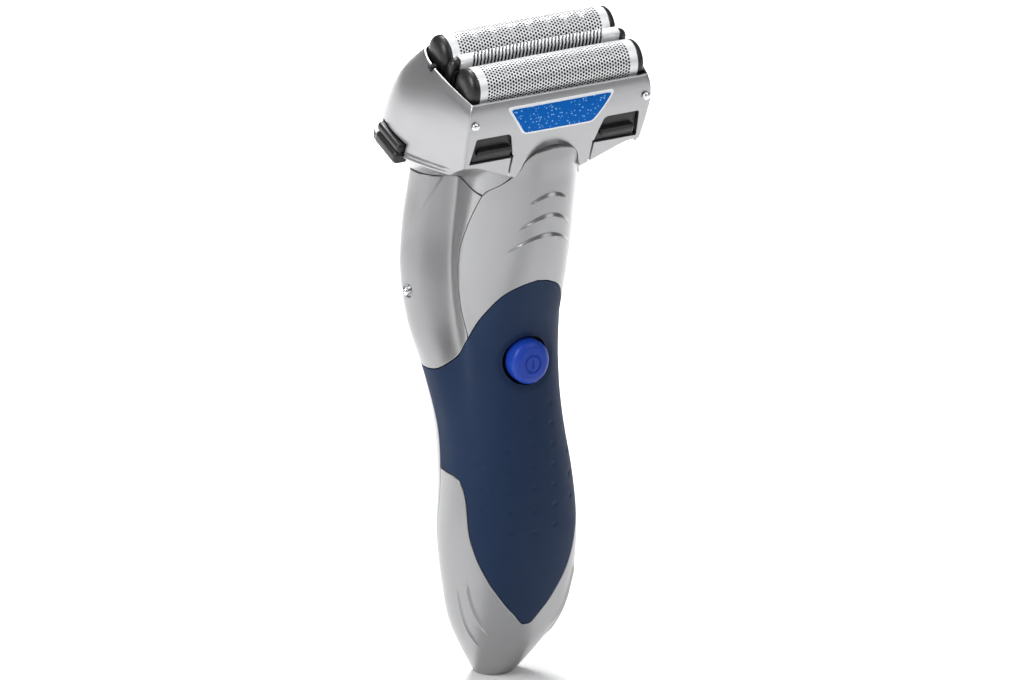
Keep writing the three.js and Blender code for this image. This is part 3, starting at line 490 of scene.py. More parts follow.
# ------------------------------------------------------------------ finishes
def finish(name, color, rough, metal=0.0, *, vary=0.06, grain=900.0, bump=0.02, rough_vary=0.06,
           coat=0.0, stretch=(1, 1, 1), specks=None, spec=0.5, depth=0.00004):
    """Principled material with noise in its colour, roughness and surface.

    grain is the noise scale per metre, stretch squeezes it along an axis for brushed metal,
    and specks is (scale, colour, size) of small spots scattered in the surface.
    """
    material = bpy.data.materials.new(name)
    material.use_nodes = True
    nodes, links = material.node_tree.nodes, material.node_tree.links
    shader = nodes["Principled BSDF"]
    shader.inputs["Metallic"].default_value = metal
    shader.inputs["Coat Weight"].default_value = coat
    shader.inputs["Coat Roughness"].default_value = 0.12
    shader.inputs["Specular IOR Level"].default_value = spec
    where = nodes.new("ShaderNodeTexCoord")
    scale = nodes.new("ShaderNodeMapping")
    scale.inputs["Scale"].default_value = stretch
    links.new(where.outputs["Object"], scale.inputs["Vector"])

    def noise(size, detail=3.0):
        node = nodes.new("ShaderNodeTexNoise")
        node.inputs["Scale"].default_value = size
        node.inputs["Detail"].default_value = detail
        links.new(scale.outputs["Vector"], node.inputs["Vector"])
        return node.outputs["Fac"]

    broad = noise(55.0, 4.0)
    fine = noise(grain, 2.0)
    tint = nodes.new("ShaderNodeMix")
    tint.data_type = "RGBA"
    tint.inputs[6].default_value = (*[c * (1 - vary) for c in color], 1)
    tint.inputs[7].default_value = (*[min(1, c * (1 + vary)) for c in color], 1)
    links.new(broad, tint.inputs[0])
    shown = tint.outputs[2]
    if specks:
        size, spot, reach = specks
        cells = nodes.new("ShaderNodeTexVoronoi")
        cells.inputs["Scale"].default_value = size
        links.new(scale.outputs["Vector"], cells.inputs["Vector"])
        near = nodes.new("ShaderNodeMapRange")
        near.inputs["From Min"].default_value = reach
        near.inputs["From Max"].default_value = reach * 0.4
        links.new(cells.outputs["Distance"], near.inputs["Value"])
        dots = nodes.new("ShaderNodeMix")
        dots.data_type = "RGBA"
        dots.inputs[7].default_value = (*spot, 1)
        links.new(near.outputs["Result"], dots.inputs[0])
        links.new(shown, dots.inputs[6])
        shown = dots.outputs[2]
    links.new(shown, shader.inputs["Base Color"])
    worn = nodes.new("ShaderNodeMapRange")
    worn.inputs["To Min"].default_value = max(0.02, rough - rough_vary)
    worn.inputs["To Max"].default_value = min(1.0, rough + rough_vary)
    links.new(noise(220.0, 5.0), worn.inputs["Value"])
    links.new(worn.outputs["Result"], shader.inputs["Roughness"])
    relief = nodes.new("ShaderNodeBump")
    relief.inputs["Strength"].default_value = bump
    relief.inputs["Distance"].default_value = depth
    links.new(fine, relief.inputs["Height"])
    links.new(relief.outputs["Normal"], shader.inputs["Normal"])
    return material


FINISH = {
    "silver": finish("silver_paint", (0.33, 0.33, 0.334), 0.3, 0.85, vary=0.03, grain=9000, bump=0.18,
                     rough_vary=0.03, coat=0.25, depth=0.00001),
    # The head's copy of the silver paint has a lighter base colour: painted light, so the head is drawn
    # brighter than the handle.
    "silver_head": finish("silver_paint_head_painted_light", (0.44, 0.44, 0.445), 0.3, 0.85, vary=0.03, grain=9000,
                          bump=0.18, rough_vary=0.03, coat=0.3, depth=0.00001),
    "navy": finish("navy_elastomer", (0.007, 0.022, 0.062), 0.62, vary=0.1, grain=5200, bump=0.35,
                   rough_vary=0.08, depth=0.00003, spec=0.22),
    "blue": finish("blue_key", (0.008, 0.045, 0.36), 0.4, vary=0.05, grain=4000, bump=0.12, spec=0.3,
                   rough_vary=0.05, coat=0.0, depth=0.00002),
    "black": finish("black_plastic", (0.012, 0.012, 0.013), 0.36, vary=0.15, grain=4200, bump=0.2,
                    rough_vary=0.08, depth=0.00002),
    "rubber": finish("black_rubber", (0.015, 0.015, 0.016), 0.8, vary=0.15, grain=2600, bump=0.4),
    "steel": finish("brushed_steel", (0.6, 0.605, 0.615), 0.27, 1.0, vary=0.05, grain=2600, bump=0.2,
                    rough_vary=0.08, stretch=(0.06, 1, 1), depth=0.00001),
    "foil": finish("foil_steel", (0.9, 0.905, 0.91), 0.45, 0.55, vary=0.04, grain=3200, bump=0.1,
                   rough_vary=0.05, stretch=(0.1, 1, 1), depth=0.00001),
    # Near-black steel for the inner blades: painted shade for the dark inside of the head, seen through the
    # foil holes.
    "blade": finish("blade_steel_painted_shade", (0.05, 0.05, 0.055), 0.35, 1.0, vary=0.1, grain=2600, bump=0.2),
    "chrome": finish("chrome", (0.82, 0.825, 0.84), 0.09, 1.0, vary=0.02, grain=3000, bump=0.03,
                     rough_vary=0.03, depth=0.00001),
    "badge_white": finish("badge_border", (0.93, 0.94, 0.95), 0.55, vary=0.02, grain=3000, bump=0.05,
                          rough_vary=0.03),
    "badge_blue": finish("badge_film", (0.002, 0.12, 0.48), 0.5, vary=0.3, grain=700, bump=0.1,
                         coat=0.0, specks=(1300.0, (0.3, 0.62, 0.98), 0.3), rough_vary=0.04, spec=0.05),
    "inner_white": finish("inner_plastic", (0.62, 0.61, 0.56), 0.55, vary=0.04, grain=1800, bump=0.1),
    "board": finish("board_laminate", (0.02, 0.12, 0.05), 0.45, vary=0.12, grain=1500, bump=0.15),
    "cell": finish("cell_sleeve", (0.03, 0.12, 0.3), 0.35, vary=0.05, grain=900, bump=0.05, coat=0.3),
    "brass": finish("plated_brass", (0.62, 0.42, 0.16), 0.3, 1.0, vary=0.08, grain=2400, bump=0.1),
}


def dress(obj, slot, body, *nodes):
    """Gives a piece its finish and body, and hides the CAD nodes that it stands for."""
    obj.data.materials.clear()
    obj.data.materials.append(FINISH[slot])
    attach(obj, body)
    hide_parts(*nodes)
    return obj


# ------------------------------------------------------------------ housing panels
def panel(name, left, right, foot, top, columns, rows, raised=None, wall=SHELL, edge=0.2):
    """One panel of the handle with rounded edges and an optional relief."""
    angle, z = panel_grid(left, right, foot, top, columns, rows)
    inset = rounding(edge_distance(handle(angle, z)), edge)
    if raised is not None:
        inset = inset - raised(angle, z)
    depth = wall(z) if callable(wall) else wall
    points, faces = skin(handle(angle, z, inset), handle(angle, z, depth), grid_faces(*angle.shape))
    return make(name, points, faces)


def crescents(angle, z):
    """Three raised crescents on the brow: a ramp that ends in a steep lower lip."""
    height = np.zeros_like(z)
    for reach, ends, crown in CRESCENTS:
        across = np.clip(angle / reach, -1, 1)
        full = np.clip(1 - across ** 2, 0, 1) ** 0.55
        line = ends + (crown - ends) * np.cos(np.pi * across / 2)
        above = z - line
        width = 0.85 * full + 0.05
        ramp = np.where(above > 0, 1 - above / width, 1 + above / 0.25)
        height = np.maximum(height, 0.68 * full * np.clip(ramp, 0, 1) * (np.abs(angle) < reach))
    return height


def tongue_depth(z):
    """Thickness of the front panel, which grows toward the tongue."""
    return mix(SHELL, 2.6, np.clip((z - 118) / 8, 0, 1))


def front_block(name, gap, outer, inner, columns, rows):
    """The space of the front panel, widened by gap, as a cutting tool."""
    def edge(z):
        return front_edge(z) + angle_for(gap, front_edge(z), z)
    angle, z = panel_grid(lambda h: -edge(h), edge, lambda a: edge_height(GRIP_TOP, a, gap),
                          lambda a: np.full_like(a, TONGUE_TOP + gap), columns, rows)
    points, faces = skin(handle(angle, z, outer), handle(angle, z, inner(z)), grid_faces(*angle.shape))
    return make(name, points, faces)


def build_front():
    def edge(z):
        return front_edge(z) - angle_for(SEAM, front_edge(z), z)

    def relief(angle, z):
        return crescents(angle, z) + TONGUE_RISE * smooth_step((z - 126) / 6)

    obj = panel("front_shell", lambda z: -edge(z), edge, lambda a: edge_height(GRIP_TOP, a, -SEAM),
                lambda a: np.full_like(a, TONGUE_TOP - SEAM), 170, 380, relief, tongue_depth)
    dress(obj, "silver", "housing", "front_panel")


def pin_seat(side):
    """Place and outward direction of a side pin."""
    seat = handle(side * PIN_ANGLE, PIN_Z)
    out = seat - handle(side * PIN_ANGLE, PIN_Z, 1)
    return Vector(seat), Vector(out).normalized()


def build_sides():
    for name, side in (("left", -1), ("right", 1)):
        seat, out = pin_seat(side)

        def raised(angle, z):
            # A soft facet edge that starts at the top and fades above the pin.
            turn = np.abs(angle)
            line = np.interp(z, [92, 108.3, 120.4], [104, 83, 65])
            fade = smooth_step((z - 94) / 22)
            beyond = (turn - line) * 0.33
            step = 0.42 * fade * np.clip(beyond / 0.35, 0, 1) * np.exp(-np.clip(beyond, 0, None) / 7)
            points = handle(angle, z)
            away = np.linalg.norm(points - np.array(seat), axis=-1)
            return step - 0.35 * smooth_step((1.7 - away) / 0.4)

        obj = panel(f"side_shell_{name}",
                    lambda z: side * (seam_angle(z) + angle_for(SEAM, seam_angle(z), z)),
                    lambda z: side * (rear_angle(z) - angle_for(SEAM, rear_angle(z), z)),
                    lambda a: edge_height(GRIP_TOP, a, -SEAM),
                    lambda a: np.full_like(a, HANDLE_TOP - SEAM), 150, 230, raised)
        dress(obj, "silver", "housing", f"side_panel_{name}")
        turn = out.to_track_quat("Z", "Y").to_matrix().to_4x4()
        profile = [(0, -1.1), (PIN_R, -1.1), (PIN_R, 0.35)]
        profile += [(PIN_R * math.cos(t), 0.35 + 0.75 * math.sin(t)) for t in np.linspace(0.15, 1.05, 8)]
        profile += [(0.42, 0.92), (0.3, 0.6), (0, 0.6)]
        pin = turned(f"pin_{name}", profile, Matrix.Translation(seat) @ turn, 48)
        dress(pin, "chrome", "housing", f"side_pin_{name}")


def both_edges(z):
    """Angle of the edge that the grip and the lower cover share with the rear half."""
    return rear_angle(z) - angle_for(SEAM, rear_angle(z), z)


DIMPLES = ([(0, 65.8 - 5.35 * k) for k in range(6)]
           + [(s * 5.6, 68.5 - 4.75 * k) for s in (-1, 1) for k in range(7)]
           + [(s * 11.0, 60.6 - 5.2 * k) for s in (-1, 1) for k in range(4)])


def build_grip():
    def raised(angle, z):
        x = handle(angle, z)[..., 0]
        facing = np.abs(angle) < 90
        height = np.zeros_like(z)
        for dx, dz in DIMPLES:
            away = ((x - dx) / 0.62) ** 2 + ((z - dz) / 0.42) ** 2
            height -= 0.26 * np.exp(-away) * facing
        ring = np.hypot(x, z - BUTTON_Z)
        return height - 0.45 * smooth_step((BUTTON_R + 2.0 - ring) / 1.6) * facing

    obj = panel("grip_skin", lambda z: -both_edges(z), both_edges, lambda a: edge_height(GRIP_FOOT, a, -SEAM),
                lambda a: edge_height(GRIP_TOP, a, SEAM), 340, 420, raised, edge=0.12)
    bore = turned("bore", [(0, -9), (BUTTON_R + 0.35, -9), (BUTTON_R + 0.35, 9), (0, 9)],
                  Matrix.Translation((0, BUTTON_Y, BUTTON_Z)) @ Matrix.Rotation(math.pi / 2, 4, "X"), 96)
    dress(combine(obj, [bore]), "navy", "housing", "front_grip")


def build_lower():
    def raised(angle, z):
        height = np.zeros_like(z)
        points = handle(angle, z)
        for line in RIBS:
            rows = line[::-1]
            at = curve(rows, z)
            radius = np.hypot(points[..., 0], points[..., 1] - curve(SECTIONS, z, 1))
            lean = np.radians(curve(rows, z + 0.5) - curve(rows, z - 0.5)) * radius
            away = np.radians(np.abs(angle) - at) * radius / np.sqrt(1 + lean ** 2)
            ends = np.clip((z - rows[0][0]) / 1.5, 0, 1) * np.clip((rows[-1][0] - z) / 1.5, 0, 1)
            height = np.maximum(height, 0.42 * np.sqrt(ends) * np.exp(-(away / 0.3) ** 2))
        return height

    obj = panel("lower_shell", lambda z: -both_edges(z), both_edges, lambda a: np.zeros_like(a),
                lambda a: edge_height(GRIP_FOOT, a, SEAM), 420, 230, raised)
    dress(obj, "silver", "housing", "lower_cover")


def build_rear():
    obj = panel("rear_shell", lambda z: rear_angle(z) + angle_for(SEAM, rear_angle(z), z),
                lambda z: 360 - rear_angle(z) - angle_for(SEAM, rear_angle(z), z),
                lambda a: np.zeros_like(a), lambda a: np.full_like(a, HANDLE_TOP - SEAM), 200, 420)
    tray = bar("tray", (-10.4, 10.4), (13.2, 14.9), (79, 119.2), 0)
    combine(obj, [tray], "UNION")
    tools = [bar("recess", (-9.4, 9.4), (14.9, 20), (80.6, 123), 0)]
    for z in (62, 30):
        seat = float(handle(180, z)[1])
        tools.append(turned("hole", [(0, -3), (2.2, -3), (2.2, 6), (0, 6)],
                            Matrix.Translation((0, seat - 1.2, z)) @ Matrix.Rotation(-math.pi / 2, 4, "X")))
    dress(combine(obj, tools), "silver", "housing", "rear_cover")


# ------------------------------------------------------------------ neck collar
def head_turn(a):
    """Turn on the head's outline that belongs to an angle on the handle."""
    t = np.where(a > 180, 360 - a, a)
    mapped = np.select([t < 62, t > 118], [t * 40 / 62, 140 + (t - 118) * 40 / 62],
                       40 + (t - 62) * 100 / 56)
    return np.where(a > 180, 360 - mapped, mapped)


def collar(a, t, inset):
    """Points of the collar between the handle's outline (t = 0) and the head (t = 1)."""
    low = handle(a, 121.12, 0.15 + inset)
    turn = head_turn(a)
    rough = head(turn, -22.0, 2.1 + inset)
    plane = mix(133.0, 131.0, np.clip((rough[..., 1] + 14) / 18, 0, 1))
    high = from_head(head(turn, head_height(rough[..., 1], plane), 2.1 + inset))
    t = np.asarray(t, float)[..., None]
    out = mix(low, high, t ** 0.8)
    out[..., 2] = mix(low[..., 2], high[..., 2], t[..., 0])
    return out


def release_block(name, side, grow, x0, x1):
    """Space of a frame release button, widened by grow."""
    x = sorted((side * x0, side * x1))
    y = (RELEASE_Y[0] - grow, RELEASE_Y[1] + grow)
    z = (RELEASE_Z[0] - grow, RELEASE_Z[1] + grow)
    return bar(name, x, y, z, 0, HEAD_MATRIX)


def build_collar():
    a = np.arange(420) * 360 / 420
    t = dense(60)
    angle, up = np.meshgrid(a, t)
    outer = collar(angle, up, 0.0)
    drop = rounding(edge_distance(outer, ((0, 0), (0, -1))), 0.25)
    inner = collar(angle, np.clip(up, 0.1, 1), 1.8)
    points, faces = skin(collar(angle, up, drop), inner, grid_faces(*angle.shape, closed=True))
    obj = make("neck_skin", points, faces)
    tools = [front_block("panel_space", 0.12, -6, lambda z: tongue_depth(z) + 0.4, 60, 90)]
    tools += [release_block("release_space", side, 0.3, 22, 33) for side in (-1, 1)]
    dress(combine(obj, tools), "silver", "housing", "neck_collar")


# ------------------------------------------------------------------ foil frame
def frame_foot(turn):
    """Lower edge of the frame: level round the sides and back, a shield shape at the front."""
    t = np.where(turn > 180, 360 - turn, turn)
    shield = curve([[0, -23.6], [14, -22.2], [26, -19.2], [34, -17.2], [40, -16.8]], t)
    rough = head(turn, -22.0)
    level = head_height(rough[..., 1], 130.0)
    return np.where(t <= 40, shield, mix(-16.8, level, np.clip((t - 40) / 6.5, 0, 1)))


def build_frame():
    columns = 900
    turn, s = np.meshgrid(np.arange(columns) * 360 / columns, dense(110))
    foot = frame_foot(turn)
    z = foot * s
    outer = soft_head(turn, z)
    from_rim = edge_distance(outer, ((0, 0),))
    from_foot = edge_distance(outer, ((0, -1),))
    t = np.where(turn > 180, 360 - turn, turn)
    bead = np.clip((t - 44) / 8, 0, 1) * (np.exp(-((from_foot - 0.5) / 0.32) ** 2)
                                          + np.exp(-((from_foot - 1.45) / 0.26) ** 2))
    inset = rounding(from_rim, 0.22) + rounding(from_foot, 0.2) - 0.34 * bead
    wall = np.interp(-z, [0, 1.5, 4], [0.45, 1.2, FRAME_WALL])
    points, faces = skin(from_head(soft_head(turn, z, inset)), from_head(head(turn, z, wall)),
                         grid_faces(*turn.shape, closed=True))
    obj = make("frame_shell", points, faces)
    tools = [front_block("tongue_space", 0.12, -6, lambda z: 3 + 3 * np.clip((134 - z) / 6, 0, 1), 60, 90)]
    for side in (-1, 1):
        window = rounded_outline([(side * x, z) for x, z in WINDOW], WINDOW_CORNERS)
        tools.append(prism("window", window, -22, -9, HEAD_MATRIX))
        tools.append(bar("slot", sorted((side * 10.1, side * 10.65)), (-22, -9), (-24, -15), 0, HEAD_MATRIX))
        tools.append(bar("notch", sorted((side * 22, side * 33)), (2.8, 13.6), (-34, -20.4), 0, HEAD_MATRIX))
        tools.append(turned("catch_space", [(0, 20), (CATCH_R + 0.2, 20), (CATCH_R + 0.2, 30), (0, 30)],
                            HEAD_MATRIX @ Matrix.Translation((0, CATCH_Y, CATCH_Z))
                            @ Matrix.Rotation(side * math.pi / 2, 4, "Y"), 40))
    # The frame takes the lighter copy of the silver paint, which is painted light.
    dress(combine(obj, tools), "silver_head", "head_cover", "foil_frame")


def build_frame_trim():
    for name, side in (("left", -1), ("right", 1)):
        axis = (HEAD_MATRIX @ Matrix.Translation((0, CATCH_Y, CATCH_Z))
                @ Matrix.Rotation(side * math.pi / 2, 4, "Y"))
        profile = [(0, 23.3), (CATCH_R, 23.3)]
        profile += [(CATCH_R * math.cos(t), 24.6 + 0.6 * math.sin(t)) for t in np.linspace(0, 1.4, 9)]
        profile += [(0, 25.2)]
        dress(turned(f"catch_{name}", profile, axis, 40), "black", f"catch_{name}", f"foil_catch_{name}")

        ridge = bar("ridge", sorted((side * 26.2, side * 29.6)), RELEASE_Y, (-22.8, RELEASE_Z[1]), 0.7,
                    HEAD_MATRIX, 6)
        lower = bar("lower", sorted((side * 26.2, side * 29.9)), RELEASE_Y, (RELEASE_Z[0], -22.9), 1.1,
                    HEAD_MATRIX, 7)
        core = bar("core", sorted((side * 26.2, side * 29.0)), (3.6, 12.8), (-24.8, -21.8), 0.3, HEAD_MATRIX)
        dress(merge(f"release_{name}", [ridge, lower, core]), "black", f"release_{name}",
              f"frame_release_{name}")

        dome = [(0, 0.1), (RIVET_R, 0.1)]
        dome += [(RIVET_R * math.cos(t), 0.35 + 0.65 * math.sin(t)) for t in np.linspace(0, 1.35, 9)]
        dome += [(0, 1.0)]
        seat = Matrix.Translation((side * RIVET[0], *RIVET[1:])) @ Matrix.Rotation(math.pi / 2, 4, "X")
        rivet = turned(f"rivet_{name}", dome, HEAD_MATRIX @ seat, 40)
        dress(rivet, "chrome", "head_cover", f"frame_rivet_{name}")


def build_cassette():
    parts = [combine(bar("ring", (-21.5, 21.5), (-12.3, 10.7), (-14.6, -4.6), 0.3, HEAD_MATRIX),
                     [bar("hollow", (-20.4, 20.4), (-11.7, 10.1), (-20, 0), 0, HEAD_MATRIX)])]
    for side in (-1, 1):
        parts.append(bar("latch", sorted((side * 10.6, side * 20.7)), (-13.6, -11.9), (-15.6, -9.0), 0.35,
                         HEAD_MATRIX))
        parts.append(bar("ledge", sorted((side * 11.4, side * 20.0)), (-15.1, -12.4), (-13.7, -12.0), 0.6,
                         HEAD_MATRIX, 6))
        parts.append(bar("foot", sorted((side * 20.8, side * 21.5)), (-4, 3), (-7, -4.7), 0.1, HEAD_MATRIX))
    for edge in (-1, 1):
        y0 = FOIL_Y["centre"] + edge * 1.75 - 0.25
        parts.append(bar("rail", (-22, 22), (y0, y0 + 0.5), (0.7, 2.2), 0.15, HEAD_MATRIX))
        for side in (-1, 1):
            parts.append(bar("post", sorted((side * 20.8, side * 22)), (y0, y0 + 0.5), (-6, 2.2), 0.15,
                             HEAD_MATRIX))
    dress(merge("cassette", parts), "black", "head_cover", "foil_cassette")


def build_badge():
    def plate(name, edge, low, high, corner):
        v = dense(60, 0.8)[:, None]
        u = dense(120, 0.8)[None, :]
        z = mix(BADGE_FOOT + edge, BADGE_TOP - edge, v) + 0 * u
        d = np.minimum(z - z.min(), z.max() - z)
        half = mix(*BADGE_HALF, (z - BADGE_FOOT) / (BADGE_TOP - BADGE_FOOT)) - edge * 1.15
        half = half - rounding(d, corner)
        x = mix(-half, half, u)
        face = -curve(HEAD, z, 4)
        drop = rounding(edge_distance(np.stack([x, face, z], -1)), 0.08)
        outer = np.stack([x, face - high + drop, z], -1)
        inner = np.stack([x, face - low, z], -1)
        points, faces = skin(from_head(outer), from_head(inner), grid_faces(*z.shape))
        return make(name, points, faces)

    dress(plate("badge_border", 0, 0.02, 0.24, 1.1), "badge_white", "head_cover", "badge_plate")
    dress(plate("badge_face", 0.55, 0.2, 0.34, 0.7), "badge_blue", "head_cover", "badge_field")


# ------------------------------------------------------------------ cutting elements
def arch_point(y, radius, foot, along, s):
    """Point on an arched sheet: s runs over its cross-section in millimetres from the front foot."""
    leg = FOIL_TOP - FOIL_R - foot
    q = np.clip((s - leg) / radius, 0, np.pi) - np.pi / 2
    down = np.maximum(leg - s, 0) + np.maximum(s - leg - np.pi * radius, 0)
    crown = 0.3 * (1 - (along / FOIL_HALF) ** 2)
    return np.stack([along + 0 * s, y + radius * np.sin(q),
                     FOIL_TOP - FOIL_R + radius * np.cos(q) - down + crown * np.cos(q)], -1)


def build_foil(name):
    """Perforated sheet: staggered round holes, with a plain band at each end and at each foot."""
    y, foot, thick, pitch = FOIL_Y[name], FOIL_FOOT, FOIL_SHEET, HOLE_PITCH
    length = 2 * (FOIL_TOP - FOIL_R - foot) + np.pi * FOIL_R
    lines = int(round(2 * FOIL_END / (pitch * 0.866)))
    high = 2 * FOIL_END / lines
    cells = int((length - 2.4) / pitch)
    across = np.concatenate([[0], length / 2 + (np.arange(2 * cells + 2) - cells) * pitch / 2, [length]])
    columns = len(across)
    k, j = np.meshgrid(np.arange(columns), np.arange(lines + 1))
    nudge = np.where((k - 1 - j) % 2 == 0, 1.0, -1.0) * high / 6
    nudge[:, [0, 1, -2, -1]] = 0
    nudge[[0, -1]] = 0
    sheet_s, sheet_x = [across[k].ravel()], [(j * high + nudge - FOIL_END).ravel()]
    faces = []
    count = k.size
    turn = np.radians([210, 270, 330, 30, 90, 150])
    for row in range(lines):
        base, above = row * columns, (row + 1) * columns
        plain = row < 3 or row >= lines - 3
        filled = set()
        for first in range(1 + row % 2, columns - 3, 2):
            cell = [base + first, base + first + 1, base + first + 2,
                    above + first + 2, above + first + 1, above + first]
            filled.update((first, first + 1))
            if plain:
                faces += [[cell[0], cell[1], cell[4], cell[5]], [cell[1], cell[2], cell[3], cell[4]]]
                continue
            sheet_s.append(across[first + 1] + HOLE_R * np.cos(turn))
            sheet_x.append((row + 0.5) * high - FOIL_END + HOLE_R * np.sin(turn))
            faces += [[cell[e], cell[(e + 1) % 6], count + (e + 1) % 6, count + e] for e in range(6)]
            count += 6
        faces += [[base + c, base + c + 1, above + c + 1, above + c] for c in range(columns - 1)
                  if c not in filled]
    s, along = np.concatenate(sheet_s), np.concatenate(sheet_x)
    outer = arch_point(y, FOIL_R, foot, along, s)
    inner = arch_point(y, FOIL_R - thick, foot, along, s * (1 - thick * np.pi / length))
    points, faces = skin(from_head(outer), from_head(inner), np.array(faces))
    dress(make(f"foil_{name}_sheet", points, faces, 60), "foil", f"outer_{name}", f"foil_{name}")


def build_slit_strip():
    """Strip with slanted slits across its top and down both sides."""
    y0, half = FOIL_Y["centre"], SLIT_HALF
    path = [(-half, 0.4), (-half, 1.2), (-half, 2.2), (-half, 3.2), (-half, 4.0), (-half + 0.12, 4.38),
            (-half + 0.42, SLIT_TOP), (-0.4, SLIT_TOP + 0.03), (0.4, SLIT_TOP + 0.03),
            (half - 0.42, SLIT_TOP), (half - 0.12, 4.38), (half, 4.0), (half, 3.2), (half, 2.2),
            (half, 1.2), (half, 0.4)]
    count = int(2 * (FOIL_END - SLIT_PLAIN) / SLIT_PITCH)
    start = -count * SLIT_PITCH / 2
    xs = [-FOIL_END]
    for k in range(count):
        xs += [start + k * SLIT_PITCH, start + k * SLIT_PITCH + SLIT_PITCH - SLIT_BAR]
    xs += [start + count * SLIT_PITCH, FOIL_END]
    xs = np.array(xs)
    rows = np.array(path)
    x, y = np.meshgrid(xs, rows[:, 0])
    _, z = np.meshgrid(xs, rows[:, 1])
    lean = SLIT_LEAN * np.sin(y / SLIT_HALF * np.pi / 2)
    lean[:, 0] = 0
    lean[:, -1] = 0
    crown = 0.3 * (1 - (x / FOIL_HALF) ** 2)
    faces = []
    columns = len(xs)
    for j in range(len(path) - 1):
        for i in range(columns - 1):
            slit = i % 2 == 1 and i < columns - 2 and 1 <= j < len(path) - 2
            if not slit:
                a = j * columns + i
                faces.append([a, a + 1, a + 1 + columns, a + columns])
    outer = np.stack([x + lean, y0 + y, z + crown], -1)
    inner = np.stack([x + lean, y0 + y * 0.84, np.where(z > 4.2, z - 0.2, z) + crown], -1)
    points, faces = skin(from_head(outer), from_head(inner), np.array(faces))
    dress(make("slit_strip", points, faces, 50), "foil", "outer_centre", "foil_centre")


def build_caps():
    rows = [[20.15, 1.0, 0], [20.6, 1.0, 0], [21.2, 0.98, 0], [21.7, 0.91, -0.12], [22.1, 0.79, -0.34],
            [22.35, 0.62, -0.62], [22.42, 0.5, -0.8]]
    for name, radius, top in (("front", FOIL_R + 0.06, FOIL_TOP), ("centre", 1.3, SLIT_TOP - 0.2),
                              ("back", FOIL_R + 0.06, FOIL_TOP)):
        y = FOIL_Y[name]
        axis = top - radius
        for label, side in (("left", -1), ("right", 1)):
            rings = []
            for x, _, _ in rows[1:] if name == "centre" else rows:
                size, drop = curve(rows, x, 1), curve(rows, x, 2)
                q = np.radians(np.linspace(-90, 90, 33))
                arc = [(side * x, y + radius * size * math.sin(t), axis + drop + radius * size * math.cos(t))
                       for t in q]
                rings.append(arc + [(side * x, y + edge * radius * size, CAP_FOOT) for edge in (1, -1)])
            cap = loft(f"cap_{name}_{label}_skin", from_head(np.array(rings)), 50)
            dress(cap, "black", f"outer_{name}", f"cap_{name}_{label}")


# ------------------------------------------------------------------ power button
def build_button():
    """Domed key with a ring and a bar sunk into its face."""
    sides, rings = 160, 90
    a = np.arange(sides) * 2 * np.pi / sides
    r = np.concatenate([np.linspace(0.02, 3.2, rings), np.linspace(3.3, BUTTON_R, 40)])
    radius, turn = np.meshgrid(r, a, indexing="ij")
    x, z = radius * np.cos(turn), radius * np.sin(turn)
    edge = np.clip((radius - (BUTTON_R - 1.9)) / 1.9, 0, 1)
    face = 2.05 - 0.35 * (radius / BUTTON_R) ** 2 - 1.5 * (1 - np.sqrt(np.maximum(1 - edge ** 2.2, 0)))
    ring = np.exp(-((radius - ICON_R) / ICON_LINE) ** 4)
    stroke = np.exp(-(x / ICON_LINE) ** 4) * np.exp(-(z / 1.15) ** 8)
    face = face - ICON_DEPTH * np.maximum(ring, stroke)
    top = np.stack([x, -face, z], -1)
    skirt = np.stack([x[-1], np.full(sides, 2.4), z[-1]], -1)
    foot = np.stack([x[-1] * 0.98, np.full(sides, 2.4), z[-1] * 0.98], -1)
    stem = np.stack([2.4 * np.cos(a), np.full(sides, 2.4), 2.4 * np.sin(a)], -1)
    stem_end = np.stack([2.4 * np.cos(a), np.full(sides, 4.0), 2.4 * np.sin(a)], -1)
    every = np.concatenate([top, skirt[None], foot[None], stem[None], stem_end[None]])
    every = every * BUTTON_SQUEEZE + [0, BUTTON_Y, BUTTON_Z]
    dress(loft("key_cap", every, 50), "blue", "power_key", "power_button")


# ------------------------------------------------------------------ CAD pieces that stay
def finish_cad():
    """Finishes and softened edges for the CAD pieces that stay visible."""
    for part in frame["record"]["subparts"]:
        node = frame["nodes"][part["node"]]
        if node.hide_render:
            continue
        node.data.materials.clear()
        # The inner blades take the near-black steel, which is painted shade inside the head.
        inner = part["node"].startswith("blade")
        node.data.materials.append(FINISH["blade" if inner else part["material_slot"]])
        soften = node.modifiers.new("edge", "BEVEL")
        soften.width = 0.12 * MM
        soften.segments = 2
        soften.limit_method = "ANGLE"
        soften.angle_limit = math.radians(50)
        shade(node, 40)


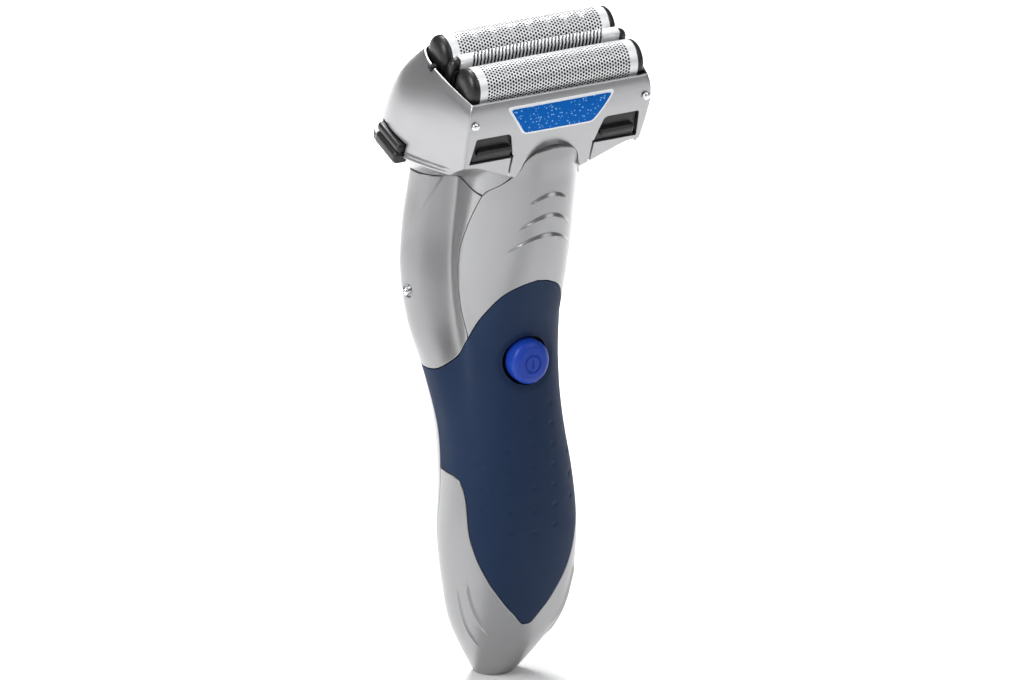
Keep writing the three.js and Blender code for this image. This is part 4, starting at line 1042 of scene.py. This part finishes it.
# ------------------------------------------------------------------ stage, light and camera
def build_stage():
    """Pale floor, soft lamps and a surrounding that is brighter overhead."""
    bpy.ops.mesh.primitive_plane_add(size=6)
    floor = bpy.context.object
    floor.name = "floor"
    floor.data.materials.append(finish("pale_floor", (0.9, 0.9, 0.9), 0.7, vary=0.01, grain=300, bump=0.02))
    bpy.context.scene.view_settings.view_transform = "Standard"
    world = bpy.data.worlds.new("studio")
    bpy.context.scene.world = world
    world.use_nodes = True
    backdrop = world.node_tree.nodes["Background"]
    backdrop.inputs["Color"].default_value = (0.96, 0.97, 1.0, 1)
    nodes, links = world.node_tree.nodes, world.node_tree.links
    where = nodes.new("ShaderNodeTexCoord")
    axes = nodes.new("ShaderNodeSeparateXYZ")
    links.new(where.outputs["Generated"], axes.inputs["Vector"])
    height = nodes.new("ShaderNodeMath")
    height.operation = "POWER"
    height.inputs[1].default_value = 2
    links.new(axes.outputs["Z"], height.inputs[0])
    level = nodes.new("ShaderNodeMath")
    level.operation = "MULTIPLY_ADD"
    level.inputs[1].default_value = SKY_RISE
    level.inputs[2].default_value = SKY_LOW
    links.new(height.outputs["Value"], level.inputs[0])
    links.new(level.outputs["Value"], backdrop.inputs["Strength"])
    for name, place_at, aim, size, power, spread in LAMPS:
        light = bpy.data.lights.new(name, "AREA")
        light.size = size
        light.energy = power
        light.spread = math.radians(spread)
        lamp = bpy.data.objects.new(name, light)
        lamp.location = place_at
        lamp.rotation_euler = (Vector(aim) - Vector(place_at)).to_track_quat("-Z", "Y").to_euler()
        bpy.context.scene.collection.objects.link(lamp)


def build_camera():
    """Long lens from the front left, 29 degrees round and 20 degrees up."""
    forward = Vector((-math.sin(VIEW_TURN) * math.cos(VIEW_RISE),
                      math.cos(VIEW_TURN) * math.cos(VIEW_RISE), -math.sin(VIEW_RISE)))
    right = forward.cross(Vector((0, 0, 1))).normalized()
    up = right.cross(forward)
    anchor = Vector((0, -13 + SHIFT_Y, BUTTON_Z - 0.2))
    eye = anchor - forward * VIEW_DISTANCE - right * VIEW_SHIFT[0] + up * VIEW_SHIFT[1]
    camera = bpy.data.cameras.new("camera")
    camera.sensor_width = 36
    camera.lens = camera.sensor_width * VIEW_DISTANCE / VIEW_WIDTH
    camera.clip_end = 30
    obj = bpy.data.objects.new("camera", camera)
    obj.location = eye * MM
    obj.rotation_euler = Matrix((right, up, -forward)).transposed().to_euler()
    bpy.context.scene.collection.objects.link(obj)
    bpy.context.scene.camera = obj


build_front()
build_sides()
build_grip()
build_lower()
build_rear()
build_collar()
build_frame()
build_frame_trim()
build_cassette()
build_badge()
build_foil("front")
build_foil("back")
build_slit_strip()
build_caps()
build_button()
finish_cad()
build_stage()
build_camera()
